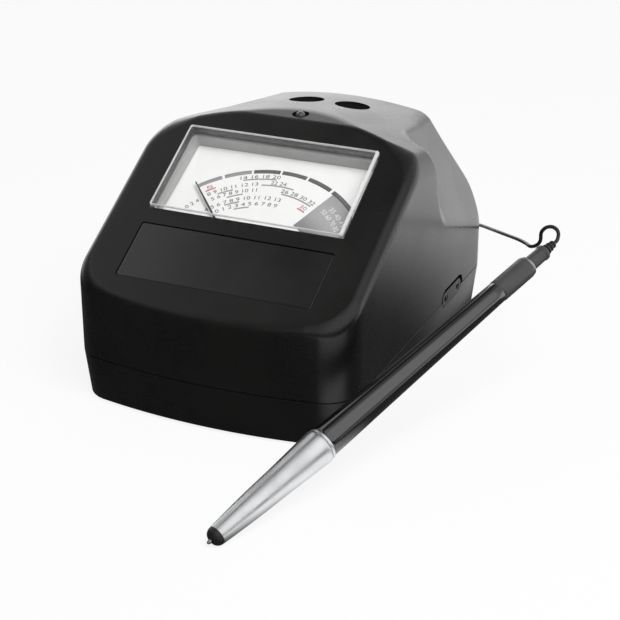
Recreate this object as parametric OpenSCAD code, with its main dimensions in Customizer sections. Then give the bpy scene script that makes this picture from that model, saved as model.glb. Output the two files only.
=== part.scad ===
// Gemstone tester: sloping-faced desk instrument with an analogue meter, two buttons and a probe wand.
// Millimetres, +Z up, front towards -Y, origin on the table under the middle of the body.

/* [Body] */
// Width of the body across its side walls
body_w = 93.6; // [88:0.2:104]
// Depth of the body from the middle of its front to its rear wall
body_d = 132; // [126:1:150]
// Height of the parting line between pan and housing
part_z = 16; // [15:0.5:20]
// Height of the lower edge of the sloping face
front_h = 37.7; // [36:0.1:44]
// Slope of the face from level, in degrees
face_tilt = 30; // [28:1:33]
// Length of the face along its slope, up to the crest
face_len = 84.3; // [82:0.1:90]
// Fall of the top behind the crest, in degrees
top_fall = 8; // [6:1:10]
// Radius of the top's crown across the body
crown_r = 130; // [115:1:200]
// Radius of the shoulders between the crown and the side walls
shoulder_r = 9; // [7:0.5:11]
// Width of the bevel along the face's side edges
face_bevel = 2.6; // [2:0.1:3]
// Radius of the bowed front
bow_r = 200; // [160:5:300]
// Radius of the upright corners
corner_r = 12; // [10:0.5:14]
// Height at which the rear slope meets the rear wall
rear_h = 40; // [36:1:46]
// Slope of the rear above that height, from level, in degrees
rear_tilt = 67; // [62:1:74]
// Wall of the upper housing
wall = 2.4; // [2:0.1:2.8]
// Wall of the base pan, which carries the locating tongue
pan_wall = 3.8; // [3.6:0.1:4.4]
// Floor of the base pan
pan_floor = 2.6; // [2.4:0.1:3.2]
// Inset of the pan's lower edge from the parting line
pan_draft = 1.7; // [1:0.1:2.2]
// Height of the locating tongue
tongue_h = 1.4; // [1:0.1:2]

/* [Side scoops] */
// Distance from the rear wall to the front end of a scoop
scoop_len = 56; // [50:1:60]
// Height of a scoop's shelf at the rear wall
scoop_z = 28.3; // [26:0.1:31]
// Lean of a scoop's flank from upright, in degrees
scoop_lean = 27; // [24:1:30]
// Fall of the shelf towards the rear, in degrees
scoop_fall = 9.2; // [7:0.1:11]
// Radius at the front end of a scoop
scoop_r = 14; // [11:0.5:17]
// Depth of the shallow cut at the crest
crest_drop = 1.3; // [1:0.1:1.6]
// Forward tilt of the cut at the crest, in degrees
crest_tilt = 4; // [3:1:6]

/* [Face] */
// Width of the meter window
win_w = 66; // [62:0.2:68]
// Height of the meter window along the slope
win_h = 34.6; // [32:0.2:36]
// Distance of the window's lower edge up the slope
win_v = 37.7; // [37:0.1:39]
// Rise of the window above the face
lens_rise = 1.5; // [0.8:0.1:2.5]
// Thickness of the window's clear walls
lens_t = 1.6; // [1.2:0.1:2]
// Thickness of the window's flange
lens_flange_t = 1.2; // [1:0.1:1.6]
// Width of the window's flange
lens_flange_w = 2; // [1.6:0.1:2.4]
// Width of the label plate
label_w = 65; // [60:0.2:70]
// Height of the label plate along the slope
label_h = 20.9; // [18:0.1:22]
// Distance of the label plate's lower edge up the slope
label_v = 10.7; // [9:0.1:12]
// Thickness of the label plate
label_t = 0.9; // [0.6:0.1:1.1]
// Depth of the label plate below the face
label_sink = 0.2; // [0.1:0.05:0.3]

/* [Meter] */
// Depth of the dial below the face
dial_depth = 8; // [7.8:0.1:9]
// Thickness of the dial plate
dial_t = 0.6; // [0.4:0.1:0.8]
// Distance of the needle's pivot below the window's lower edge
pivot_drop = 11; // [10.5:0.1:12]
// Distance of the needle's pivot right of the middle of the window
pivot_u = 1; // [0:0.1:1.5]
// Reach of the needle from its pivot
needle_len = 39.4; // [36:0.1:41.5]
// Width of the needle
needle_w = 0.9; // [0.6:0.1:1.4]
// Thickness of the needle
needle_t = 0.4; // [0.3:0.1:0.5]
// Angle of the needle at rest, left of the middle, in degrees
needle_rest = 43.5; // [42:0.5:46]
// Depth of the meter case below the face
case_depth = 25; // [24.6:0.1:27]
// Width of the meter case
case_w = 72; // [71:0.2:74]
// Wall of the meter case
case_t = 1.4; // [1.2:0.1:1.6]
// Outer radius of the ring magnet
magnet_r = 13; // [12.4:0.1:13.4]
// Inner radius of the ring magnet
gap_r = 9.6; // [9.5:0.1:10]
// Height of the ring magnet
magnet_h = 10; // [9.6:0.1:10.2]
// Radius of the iron core
core_r = 7.6; // [7:0.1:7.7]
// Radius of the coil's pivots
pivot_r = 0.45; // [0.4:0.05:0.6]

/* [Buttons and lamp] */
// Radius of a push button
button_r = 5.75; // [5.2:0.05:6.2]
// Distance between the buttons' middles
button_gap = 16.6; // [16.2:0.1:18]
// Distance of the buttons behind the crest
button_t = 26; // [24:0.5:27]
// Travel of a button
button_travel = 1.2; // [0.8:0.1:1.3]
// Depth of a button's cap below the top
button_sink = 0.4; // [0.2:0.05:0.6]
// Radius of the lamp
lamp_r = 1.5; // [1.3:0.05:1.7]
// Outer radius of the lamp's ring
lamp_ring_r = 2.7; // [2.4:0.05:3]
// Distance of the lamp behind the crest
lamp_y = 2.2; // [1.8:0.1:2.6]

/* [Power] */
// Radius of a cell
cell_r = 7.25; // [7:0.05:7.3]
// Length of a cell
cell_len = 50.5; // [49:0.1:50.6]
// Distance of the cell bay's middle in front of the rear wall
bay_y = 32; // [30:0.5:33]
// Thickness of the battery door
door_t = 1.8; // [1.6:0.05:2]
// Width of the door's side tongues
door_tongue = 1.2; // [1:0.1:1.6]
// Radius of a pin hole of the power socket
jack_r = 1; // [0.8:0.05:1.2]
// Depth of a pin hole of the power socket
jack_depth = 8; // [7:0.1:9]
// Distance between the pin holes of the power socket
jack_pitch = 11.6; // [10:0.1:12.4]
// Distance of the power socket behind the body's middle
jack_y = 29.3; // [28:0.1:31]
// Width of the power socket's face
jack_w = 18.2; // [17.4:0.1:19]
// Height of the power socket's face
jack_h = 5; // [4.6:0.1:5.6]
// Width of the open slot between the power socket and the housing
jack_slot = 1.4; // [1:0.1:1.6]

/* [Feet and screws] */
// Radius of a foot
foot_r = 4.5; // [4:0.1:4.8]
// Height of a foot below the pan
foot_h = 0.8; // [0.6:0.1:1.2]
// Depth of a foot's seat in the pan
foot_seat = 0.8; // [0.6:0.1:1]
// Radius of a case screw's shank
screw_r = 1.5; // [1.3:0.05:1.6]
// Radius of a case screw's head
screw_head_r = 2.6; // [2.4:0.05:2.7]

/* [Boards] */
// Width of the main board
board_w = 66; // [62:0.5:68]
// Depth of the main board
board_d = 50; // [46:0.5:52]
// Thickness of a board
board_t = 1.6; // [1.2:0.1:2]
// Height of the main board above the pan's floor
board_lift = 5; // [4.6:0.1:6]

/* [Wand] */
// Place of the pin's end in plan, across the body
tip_x = 32; // [28:0.5:36]
// Place of the pin's end in front of the body's middle
tip_y = -123.5; // [-130:0.5:-118]
// Turn of the wand from the body's depth towards +X, in degrees
wand_turn = 22.5; // [20:0.1:26]
// Rise of the wand towards its tail, in degrees
wand_rise = 18.2; // [16:0.1:20]
// Reach of the pin beyond the nose
pin_out = 1.2; // [0.8:0.05:1.6]
// Radius of the pin
pin_r = 0.6; // [0.5:0.05:0.7]
// Travel of the pin
pin_travel = 1; // [0.6:0.05:1.1]
// Length of the rounded nose
nose_len = 2.4; // [2:0.1:3]
// Radius of the nose
nose_r = 2.95; // [2.8:0.05:3.2]
// Length of the nose cone
cone_len = 40.4; // [38:0.1:44]
// Radius of the cone's rear rim
cone_r = 5.35; // [5.1:0.05:5.6]
// Length of the ring behind the cone
ring_len = 1.2; // [0.8:0.1:1.6]
// Radius of the barrel behind the ring
barrel_r1 = 4.75; // [4.6:0.05:5]
// Radius of the barrel at the tail
barrel_r2 = 3.4; // [3.3:0.05:3.6]
// Length of the barrel
barrel_len = 77; // [72:0.5:84]
// Length of the tail collar
collar_len = 14; // [12:0.1:16]
// Length of the tail sleeve
sleeve_len = 8; // [7:0.1:9]
// Length of the ribbed strain relief
relief_len = 5; // [4.6:0.1:6]
// Ribs of the strain relief
relief_ribs = 3; // [2:1:4]

/* [Lead] */
// Diameter of the lead
lead_d = 1.2; // [1:0.05:1.3]
// Turns of the coil, one half turn over a whole number
coil_turns = 12.5; // [8.5:1:14.5]
// Layers of the coil
coil_layers = 4; // [2,4]
// Distance from turn to turn
coil_pitch = 1.7; // [1.65:0.05:1.9]
// Radius of the coil's inmost turn
coil_in = 4.6; // [4.3:0.1:5.2]

/* [Hidden] */
$fn = 64;
eps = 0.02;
// Gap round a piece that is set into another
gap = 0.2;
// Gap round a piece that turns or slides in a bore
run = 0.06;
// Gap between the tongue and the housing
tongue_gap = 0.15;
// How far a cut runs past what it cuts
over = 3;

hw = body_w / 2;
fy = -body_d / 2;
ry = body_d / 2;
bow_y = fy + bow_r;
corner_x = hw - corner_r;
corner_fy = bow_y - sqrt(pow(bow_r - corner_r, 2) - pow(corner_x, 2));
corner_ry = ry - corner_r;
bow_x = corner_x * bow_r / (bow_r - corner_r);
crest_y = fy + face_len * cos(face_tilt);
crest_z = front_h + face_len * sin(face_tilt);
top_z = crest_z + 20;
floor_z = foot_h + pan_floor;

scoop_front = ry - scoop_len;

case_v0 = win_v - pivot_drop - magnet_r - 2.4;
case_v1 = win_v + win_h + lens_flange_w + 0.7;
pivot_v = win_v - pivot_drop;
rim_w = -wall - lens_flange_t;
case_floor_w = -case_depth + case_t;
magnet_w = case_floor_w + 1.6;
core_w = magnet_w + 1;
core_h = magnet_h - 2;
coil_in_r = core_r + 0.5;
coil_out_r = gap_r - 0.6;
coil_wide = 4;
coil_clear = 0.4;
coil_bar = 0.8;
coil_w0 = core_w - coil_clear - coil_bar;
coil_w1 = core_w + core_h + coil_clear + coil_bar;
bridge_w = magnet_w + magnet_h + 1.8;
bridge_t = 1;
bridge_half = 2;
post_r = 1.2;
post_u = (gap_r + magnet_r) / 2;
needle_w0 = -dial_depth + 1.3;
ear_w = -wall - 5.6;
ear_t = 2;
ear_half = 2.4;
ear_wide = 6.8;
ear_u = case_w / 2 + ear_half + 0.5;
ear_back = 18;
ear_v = [case_v0 + 8, min(case_v1 - 8, (scoop_front - ear_back - fy) / cos(face_tilt))];
boss_r = 2.4;
small_head_r = 1.7;
small_head_h = 1.2;
small_screw_len = 5;
pilot_r = 1;
pilot_depth = 4.5;
dial_post_u = case_w / 2 - case_t - 3;
dial_post_v = [pivot_v + 2, case_v1 - case_t - 3];

button_u = button_gap / 2;
cap_w = -pow(button_u, 2) / (2 * crown_r) - button_sink;
flange_r = button_r + 1.1;
flange_w = -wall - pow(button_u + flange_r, 2) / (2 * (crown_r - wall)) - 0.4;
flange_t = 1.2;
post_len = 2.2;
stem_r = 1.6;
stem_w1 = flange_w - flange_t - post_len;
stem_w0 = stem_w1 - 2.4;
switch_w1 = stem_w1 - button_travel - 0.4;
switch_h = 3.6;
switch_side = 6;
switch_board_w1 = switch_w1 - switch_h;
switch_board_w = 46;
switch_board_half = 7;
switch_board_t0 = button_t - switch_board_half;
switch_board_t1 = button_t + switch_board_half;
switch_boss_in = 3.5;
switch_boss_u = switch_board_w / 2 - switch_boss_in;
lamp_z = crest_z - crest_drop + lamp_y * tan(crest_tilt);
lamp_flange = 1;
lamp_body = wall + lamp_flange;

bay_mid = ry - bay_y;
bay_half_x = cell_len / 2 + 4;
bay_half_y = 2 * cell_r + 1.2;
bay_wall = 1.2;
cell_z = floor_z + gap + cell_r;
bay_top = cell_z + cell_r + 0.5;
door_x1 = bay_half_x + 1;
door_x0 = -hw + pan_draft * 0.9;
door_half_y = bay_half_y - door_tongue - gap - 0.4;
door_z0 = foot_h + 0.1;
door_rail_z = door_z0 + 0.5;
door_rail_h = 0.8;
contact_t = 0.4;
contact_side = 10;
contact_tip = 4;
contact_gap = (bay_half_x * 2 - cell_len) / 2;

screw_spots = [
    for (sx = [-1, 1]) [sx * (corner_x + 4.5), corner_fy - 4.5],
    for (sx = [-1, 1]) [sx * 12, ry - pan_wall - 5]
];
case_boss_r = 3.8;
front_boss_h = 14;
screw_len = 18;
screw_head_h = 1.8;
head_z = foot_h + 2;
foot_spots = [
    for (sx = [-1, 1]) [sx * (hw - 12), corner_fy + 10],
    for (sx = [-1, 1]) [sx * (corner_x + 1), corner_ry + 2.5]
];
board_y = bay_mid - bay_half_y - bay_wall - 3 - board_d / 2;
board_z = floor_z + board_lift;
board_spots = [for (sx = [-1, 1], sy = [-1, 1]) [sx * (board_w / 2 - 4), board_y + sy * (board_d / 2 - 4)]];
standoff_r = 3;
chip_side = 12;
chip_h = 1.6;
cap_r = 3;
cap_h = 7;
cap_pitch = 9;
cap_in = 10;
cap_y = board_y - board_d / 2 + 15;
buzzer_r = 6;
buzzer_h = 6;
buzzer_hole_r = 1;
buzzer_in = 13;
buzzer_y = board_y + board_d / 2 - 19;

jack_x = hw - 0.1;
jack_back = hw - pan_wall - 0.1;
jack_flange = jack_slot + 1.2;
jack_flange_t = 1.4;
jack_len = jack_depth + 1.6;
jack_sleeve_r = jack_r + 0.5;
sock_in = 18.8;
sock_x = hw - sock_in;
sock_z = 26;
sock_nose_r = 4;
sock_flange_r = 5.6;
sock_len = 17;
plug_pin_r = 1.75;
plug_pin_len = 14;
plug_r = 3.4;
plug_len = 11;
boot_r = 2.4;
boot_len = 9;

cone_s0 = pin_out + nose_len;
cone_s1 = cone_s0 + cone_len;
barrel_s0 = cone_s1 + ring_len;
barrel_s1 = barrel_s0 + barrel_len;
collar_s1 = barrel_s1 + collar_len;
collar_ring_len = 0.8;
sleeve_s0 = collar_s1 + collar_ring_len;
sleeve_s1 = sleeve_s0 + sleeve_len;
relief_s1 = sleeve_s1 + relief_len;
collar_r = barrel_r2 + 0.12;
sleeve_r = 2.4;
relief_r = 1.9;
cone_t = 1;
barrel_t = 1;
insulator_len = 5;
block_s0 = cone_s0 + insulator_len + gap;
block_len = 8;
block_r = 1.6;
spring_pressed = 7;
spring_s1 = block_s0 + block_len + spring_pressed + pin_travel;
tip_z = nose_r * cos(wand_rise) - cone_s0 * sin(wand_rise);
wand_dir = [
    sin(wand_turn) * cos(wand_rise),
    cos(wand_turn) * cos(wand_rise),
    sin(wand_rise)
];
function wand_at(s) = [tip_x, tip_y, tip_z] + s * wand_dir;

// The lead's spare length lies in a coil behind the body
lead_r = lead_d / 2;
coil_x = 2;
coil_y = 90;
coil_lift = 0.7;
coil_layer_h = coil_pitch;
coil_rings = 24;
layer_turns = coil_turns / coil_layers;
coil_start = 90;
coil_outer = coil_in + layer_turns * coil_pitch;
function fold(t) = let (k = floor(t / layer_turns), f = t - k * layer_turns) k % 2 == 0 ? layer_turns - f
    : f;
function ease(x) = let (c = min(1, max(0, x))) c * c * (3 - 2 * c);
function climb(t) = let (n = [for (k = [1 : coil_layers - 1]) ease((t - k * layer_turns + 0.25) / 0.5)])
    n * [for (k = [1 : coil_layers - 1]) 1];
function coil_at(t) = let (a = coil_start + 360 * t, r = coil_in + coil_pitch * fold(t)) [
    coil_x + r * cos(a),
    coil_y + r * sin(a),
    coil_lift + lead_r + coil_layer_h * climb(t)
];
coil_path = concat(
    [coil_at(0) + [lead_d, 0, 0]],
    [for (i = [0 : coil_turns * coil_rings]) coil_at(i / coil_rings)],
    [coil_at(coil_turns) + [lead_d, 0, 0]]
);
coil_self_gap = min([
    for (i = [0 : len(coil_path) - 1])
        min([for (j = [0 : len(coil_path) - 1]) if (abs(i - j) > coil_rings / 3)
            norm(coil_path[i] - coil_path[j])])
]) - lead_d;
echo(coil_self_gap = coil_self_gap);

// The lead's free stretches, as points that it passes through
boot_end = [sock_x, ry + plug_len + boot_len, sock_z];
drop_route = [
    boot_end + [0, 0.1, 0],
    boot_end + [0, 2.5 * lead_d, 0],
    [27.5, 95, 24.5],
    [26, 101.5, 18],
    [23, 105, 10],
    [17, 104.5, 4],
    [10, 102, 1.8],
    coil_path[0] + [2.5 * lead_d, 0, 0],
    coil_path[0] + [0.1, 0, 0]
];
last = coil_path[len(coil_path) - 1];
run_route = [
    last + [0.1, 0, 0],
    last + [2.5 * lead_d, 0, 0],
    [11, 80.5, 7.4],
    [20, 80, 11.6],
    [29, 78.6, 17],
    [36.5, 75.9, 22.8],
    [43.2, 69.3, 25.3],
    [50.3, 59.6, 28.5],
    [59.2, 46, 33.1],
    [68, 32.4, 37.7],
    [72.9, 24.8, 39.9],
    [75.5, 19.9, 41.3],
    [77.8, 16.9, 42.8],
    [79.7, 14.8, 44.7],
    [80.7, 13.4, 46.7],
    [81, 12.5, 49.2],
    [81.6, 12, 50.6],
    [82.8, 12, 51.8],
    [84.5, 12.1, 52.2],
    [86, 11.9, 51.7],
    [86.9, 11.2, 50.7],
    [87.1, 10.1, 49.5],
    wand_at(relief_s1 + lead_d),
    wand_at(relief_s1 + 0.1)
];

black = [0.06, 0.06, 0.06];
charcoal = [0.2, 0.2, 0.2];
board_green = [0.1, 0.35, 0.2];
steel = [0.75, 0.76, 0.78];
brass = [0.8, 0.65, 0.3];
white = [0.93, 0.93, 0.9];

// Frames of the face, the top and the wand

module on_face(u = 0, v = 0, w = 0) {
    translate([0, fy, front_h]) rotate([face_tilt, 0, 0]) translate([u, v, w]) children();
}

module on_top(u = 0, t = 0, w = 0) {
    translate([0, crest_y, crest_z]) rotate([-top_fall, 0, 0]) translate([u, t, w]) children();
}

module on_wand(s = 0) {
    translate([tip_x, tip_y, tip_z]) rotate([0, 0, -wand_turn]) rotate([wand_rise - 90, 0, 0])
        translate([0, 0, s]) children();
}

// Shared shapes

module ring(r_out, r_in, h) {
    difference() {
        cylinder(h = h, r = r_out);
        translate([0, 0, -1]) cylinder(h = h + 2, r = r_in);
    }
}

module round_rect(w, h, r) {
    square([w - 2 * r, h], center = true);
    square([w, h - 2 * r], center = true);
    for (x = [-1, 1], y = [-1, 1]) translate([x * (w / 2 - r), y * (h / 2 - r)]) circle(r);
}

module screw(shank_r, length, head_r, head_h) {
    difference() {
        union() {
            cylinder(h = length, r = shank_r);
            translate([0, 0, -head_h]) cylinder(h = head_h, r = head_r);
        }
        for (a = [0, 90]) rotate([0, 0, a]) translate([-head_r * 0.65, -0.3, -head_h - 1])
            cube([head_r * 1.3, 0.6, 1.6]);
    }
}

// The body's plan from z0 to z1, drawn in by d: upright walls, round corners and a bowed front
module plan_solid(z0, z1, d) {
    h = z1 - z0;
    for (sx = [-1, 1], yc = [corner_fy, corner_ry])
        translate([sx * corner_x, yc, z0]) cylinder(h = h, r = corner_r - d);
    translate([d - hw, corner_fy, z0]) cube([body_w - 2 * d, corner_ry - corner_fy, h]);
    translate([-corner_x, corner_fy, z0]) cube([2 * corner_x, ry - d - corner_fy, h]);
    intersection() {
        translate([0, bow_y, z0]) cylinder(h = h, r = bow_r - d, $fn = 256);
        translate([-bow_x, fy - 1, z0]) cube([2 * bow_x, corner_fy - fy + 1, h]);
    }
}

// The pan's walls, which lean in towards the table
module draft_solid() {
    h = part_z - foot_h;
    translate([0, ry + 5, 0]) intersection() {
        rotate([90, 0, 0]) linear_extrude(body_d + 20) polygon([
            [pan_draft - hw, foot_h],
            [hw - pan_draft, foot_h],
            [hw + eps, part_z],
            [-hw - eps, part_z]
        ]);
        translate([-body_w, 0, 0]) rotate([90, 0, 90]) linear_extrude(2 * body_w) polygon([
            [-body_d - 20, foot_h],
            [-5 - pan_draft, foot_h],
            [eps - 5, part_z],
            [-body_d - 20, part_z]
        ]);
        translate([0, bow_y - ry - 5, foot_h]) cylinder(h = h, r1 = bow_r - pan_draft, r2 = bow_r + eps,
            $fn = 256);
    }
}

// The face and the rear slope, drawn in by d
module profile_solid(d) {
    t1 = tan(face_tilt);
    t2 = tan(rear_tilt);
    y1 = fy + d * sin(face_tilt);
    z1 = front_h - d * cos(face_tilt);
    y2 = ry - d * sin(rear_tilt);
    z2 = rear_h - d * cos(rear_tilt);
    peak_y = (z2 + y2 * t2 - z1 + y1 * t1) / (t1 + t2);
    y0 = fy - 10;
    low = part_z - 5;
    translate([-body_w, 0, 0]) rotate([90, 0, 90]) linear_extrude(2 * body_w) polygon([
        [y0, low],
        [y0, z1 + (y0 - y1) * t1],
        [peak_y, z1 + (peak_y - y1) * t1],
        [y2 + (z2 - low) / t2, low]
    ]);
}

// The crowned top with its round shoulders, drawn in by d
module crown_solid(d) {
    x = hw + eps - shoulder_r;
    drop = sqrt(pow(crown_r - shoulder_r, 2) - pow(x, 2));
    top_x = x * crown_r / (crown_r - shoulder_r);
    low = -2 * body_w;
    on_top(0, 0, -crown_r) rotate([90, 0, 0]) linear_extrude(4 * body_d, center = true) {
        for (sx = [-1, 1]) translate([sx * x, drop]) circle(shoulder_r - d);
        translate([d - hw - eps, low]) square([2 * (hw + eps - d), drop - low]);
        intersection() {
            circle(crown_r - d, $fn = 256);
            polygon([[0, 0], [top_x * 2, drop * crown_r / (crown_r - shoulder_r) * 2],
                [-top_x * 2, drop * crown_r / (crown_r - shoulder_r) * 2]]);
        }
    }
}

// The bevels along the face's side edges
module bevel_solid() {
    reach = 3 * body_w;
    on_face(0, 0, hw - face_bevel) rotate([-90, 0, 0]) linear_extrude(4 * body_d, center = true)
        polygon([[0, 0], [reach, reach], [-reach, reach]]);
}

// What a scoop takes off the right-hand flank, grown by d
module scoop_cut(d) {
    shelf = hw * cos(scoop_lean) + scoop_z * sin(scoop_lean);
    mid_y = scoop_front + scoop_r;
    mid_w = shelf + (ry - mid_y) * tan(scoop_fall) + scoop_r / cos(scoop_fall);
    r = scoop_r + d;
    far = ry + 20;
    rotate([0, 180 - scoop_lean, 0]) rotate([0, 0, 90]) linear_extrude(4 * body_w, center = true) {
        translate([mid_y, mid_w]) circle(r);
        polygon([
            [mid_y, mid_w],
            [mid_y - r * sin(scoop_fall), mid_w - r * cos(scoop_fall)],
            [far, shelf - (far - ry) * tan(scoop_fall) - d / cos(scoop_fall)],
            [far, mid_w + 60],
            [mid_y - r, mid_w + 60],
            [mid_y - r, mid_w]
        ]);
    }
}

// The shallow cut at the crest, lowered by d
module crest_cut(d) {
    translate([0, crest_y, crest_z - crest_drop - d]) rotate([crest_tilt, 0, 0])
        translate([-body_w, -30, 0]) cube([2 * body_w, 60, 30]);
}

// The housing's outer form, drawn in by d
module housing_form(d) {
    difference() {
        intersection() {
            plan_solid(part_z - (d > 0 ? 2 : 0), top_z, d);
            profile_solid(d);
            crown_solid(d);
            if (d == 0) bevel_solid();
        }
        for (m = [0, 1]) mirror([m, 0, 0]) scoop_cut(d);
        crest_cut(d);
    }
}

// An upright outline with round ends in the right-hand wall, from depth x0 out to x1
module jack_form(w, h, x0, x1) {
    translate([x0, jack_y, part_z]) rotate([90, 0, 90]) linear_extrude(x1 - x0)
        round_rect(w, h, h / 2 - 0.1);
}

// Body

module upper_housing() {
    color(black) difference() {
        union() {
            difference() {
                housing_form(0);
                housing_form(wall);
            }
            intersection() {
                housing_form(0);
                union() {
                    for (p = screw_spots) translate([p[0], p[1], part_z])
                        cylinder(h = p[1] < 0 ? front_boss_h : top_z, r = case_boss_r);
                    for (sx = [-1, 1], v = ear_v) on_face(sx * ear_u, v, ear_w)
                        cylinder(h = -ear_w - 0.5, r = boss_r);
                    for (sx = [-1, 1]) on_top(sx * switch_boss_u, button_t, switch_board_w1)
                        cylinder(h = -switch_board_w1, r = boss_r);
                }
            }
        }
        for (p = screw_spots) translate([p[0], p[1], part_z - 1])
            cylinder(h = screw_len - over - 1, r = screw_r - 0.2);
        for (sx = [-1, 1], v = ear_v) on_face(sx * ear_u, v, ear_w - 1)
            cylinder(h = pilot_depth + 1, r = pilot_r);
        for (sx = [-1, 1]) on_top(sx * switch_boss_u, button_t, switch_board_w1 - 1)
            cylinder(h = pilot_depth + 1, r = pilot_r);
        on_face(-win_w / 2, win_v, -wall - over) cube([win_w, win_h, wall + 2 * over]);
        on_face(-label_w / 2 - gap, label_v - gap, -label_t - label_sink)
            cube([label_w + 2 * gap, label_h + 2 * gap, 6]);
        for (sx = [-1, 1]) on_top(sx * button_u, button_t, -wall - 4)
            cylinder(h = wall + 8, r = button_r + gap);
        translate([0, crest_y + lamp_y, lamp_z - wall - 4])
            cylinder(h = wall + 8, r = lamp_ring_r + gap / 2);
        jack_form(jack_w + 2 * jack_slot, jack_h + 2 * jack_slot, hw - wall - 3, hw + 1);
        translate([sock_x, ry + 1, sock_z]) rotate([90, 0, 0])
            cylinder(h = wall + 3, r = sock_nose_r + gap);
    }
}

module base_pan() {
    z0 = foot_h;
    color(black) difference() {
        union() {
            difference() {
                intersection() {
                    plan_solid(z0, part_z, 0);
                    draft_solid();
                }
                plan_solid(floor_z, part_z + 1, pan_wall);
            }
            difference() {
                plan_solid(part_z - 1, part_z + tongue_h, wall + tongue_gap);
                plan_solid(part_z - 2, part_z + tongue_h + 1, pan_wall);
            }
            intersection() {
                plan_solid(z0 + 1, part_z, pan_wall / 2);
                for (p = screw_spots) translate([p[0], p[1], z0])
                    cylinder(h = part_z - z0, r = case_boss_r);
            }
            for (p = board_spots) translate([p[0], p[1], z0 + 1])
                cylinder(h = board_z - z0 - 1, r = standoff_r);
            translate([-bay_half_x - bay_wall, bay_mid - bay_half_y - bay_wall, z0 + 1])
                cube([2 * (bay_half_x + bay_wall), 2 * (bay_half_y + bay_wall), bay_top
                    + bay_wall - z0 - 1]);
        }
        translate([-bay_half_x, bay_mid - bay_half_y, floor_z - 0.5])
            cube([2 * bay_half_x, 2 * bay_half_y, bay_top - floor_z + 0.5]);
        translate([-hw - 1, bay_mid - door_half_y - gap, z0 - 1])
            cube([hw + 1 + door_x1 + gap, 2 * (door_half_y + gap), floor_z - z0 + 1 + eps]);
        translate([-hw - 1, bay_mid - door_half_y - door_tongue - gap, door_rail_z - gap])
            cube([hw + 1 + door_x1 + gap, 2 * (door_half_y + door_tongue + gap), door_rail_h + 2 * gap]);
        for (p = foot_spots) translate([p[0], p[1], z0 - 1])
            cylinder(h = 1 + foot_seat, r = foot_r + gap / 2);
        for (p = screw_spots) translate([p[0], p[1], z0 - 1]) {
            cylinder(h = part_z + 2, r = screw_r + gap);
            cylinder(h = head_z - z0 + screw_head_h + 1, r = screw_head_r + gap);
        }
        for (p = screw_spots) translate([p[0], p[1], part_z])
            cylinder(h = tongue_h + 1, r = case_boss_r + gap);
        for (p = board_spots) translate([p[0], p[1], board_z - pilot_depth])
            cylinder(h = pilot_depth + 1, r = pilot_r);
        jack_form(jack_w + 2 * gap, jack_h + 2 * gap, hw - pan_wall - 3, hw + 1);
        translate([hw - pan_wall - 1, jack_y - jack_w / 2 - jack_slot, part_z])
            cube([pan_wall, jack_w + 2 * jack_slot, tongue_h + 1]);
    }
}

module label_plate() {
    color(charcoal) on_face(0, label_v + label_h / 2, -label_t - label_sink)
        linear_extrude(label_t) round_rect(label_w, label_h, 0.8);
}

module battery_door() {
    color(black) difference() {
        union() {
            translate([door_x0, bay_mid - door_half_y, door_z0])
                cube([door_x1 - door_x0, 2 * door_half_y, door_t]);
            translate([door_x0, bay_mid - door_half_y - door_tongue, door_rail_z])
                cube([door_x1 - door_x0, 2 * (door_half_y + door_tongue), door_rail_h]);
        }
        for (i = [0 : 4]) translate([door_x0 + 5 + 2 * i, bay_mid - 7, door_z0 - 1]) cube([0.9, 14, 1.4]);
    }
}

module battery_cells() {
    for (s = [-1, 1]) color(charcoal) translate([-cell_len / 2, bay_mid + s * (cell_r + 0.3), cell_z])
        rotate([0, s > 0 ? 90 : -90, 0]) translate([0, 0, s > 0 ? 0 : -cell_len]) {
            cylinder(h = cell_len - 1.2, r = cell_r);
            cylinder(h = cell_len, r = 2.6);
        }
}

module cell_contacts() {
    for (sx = [-1, 1], s = [-1, 1]) color(steel) translate([0, bay_mid + s * (cell_r + 0.3), cell_z]) {
        translate([sx > 0 ? bay_half_x - contact_t : -bay_half_x, -contact_side / 2, -contact_side / 2])
            cube([contact_t, contact_side, contact_side]);
        translate([sx > 0 ? cell_len / 2 + 0.1 : -cell_len / 2 - contact_gap + eps, -contact_tip / 2,
            -contact_tip / 2])
            cube([contact_gap - 0.1 - eps, contact_tip, contact_t]);
        translate([sx > 0 ? cell_len / 2 + 0.1 : -cell_len / 2 - 0.1 - contact_t, -contact_tip / 2,
            -contact_tip / 2])
            cube([contact_t, contact_tip, contact_tip]);
    }
}

module rubber_feet() {
    for (p = foot_spots) color(charcoal) translate([p[0], p[1], 0])
        cylinder(h = foot_h + foot_seat - 0.05, r = foot_r);
}

module case_screws() {
    for (p = screw_spots) color(steel) translate([p[0], p[1], head_z + screw_head_h])
        screw(screw_r - 0.25, screw_len, screw_head_r, screw_head_h);
}

// Boards

module main_board() {
    color(board_green) difference() {
        translate([-board_w / 2, board_y - board_d / 2, board_z]) cube([board_w, board_d, board_t]);
        for (p = board_spots) translate([p[0], p[1], board_z - 1])
            cylinder(h = board_t + 2, r = pilot_r + gap);
    }
}

module control_chip() {
    color(black) translate([-chip_side / 2, board_y - chip_side / 2, board_z + board_t])
        cube([chip_side, chip_side, chip_h]);
}

module board_capacitors() {
    for (i = [0, 1]) color(charcoal) translate([board_w / 2 - cap_in - cap_pitch * i, cap_y, board_z
        + board_t])
        cylinder(h = cap_h, r = cap_r);
}

module buzzer() {
    color(black) translate([buzzer_in - board_w / 2, buzzer_y, board_z + board_t])
        ring(buzzer_r, buzzer_hole_r, buzzer_h);
}

module board_screws() {
    for (p = board_spots) color(steel) translate([p[0], p[1], board_z + board_t]) rotate([180, 0, 0])
        screw(pilot_r - 0.1, small_screw_len, small_head_r, small_head_h);
}

// Sockets

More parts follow.
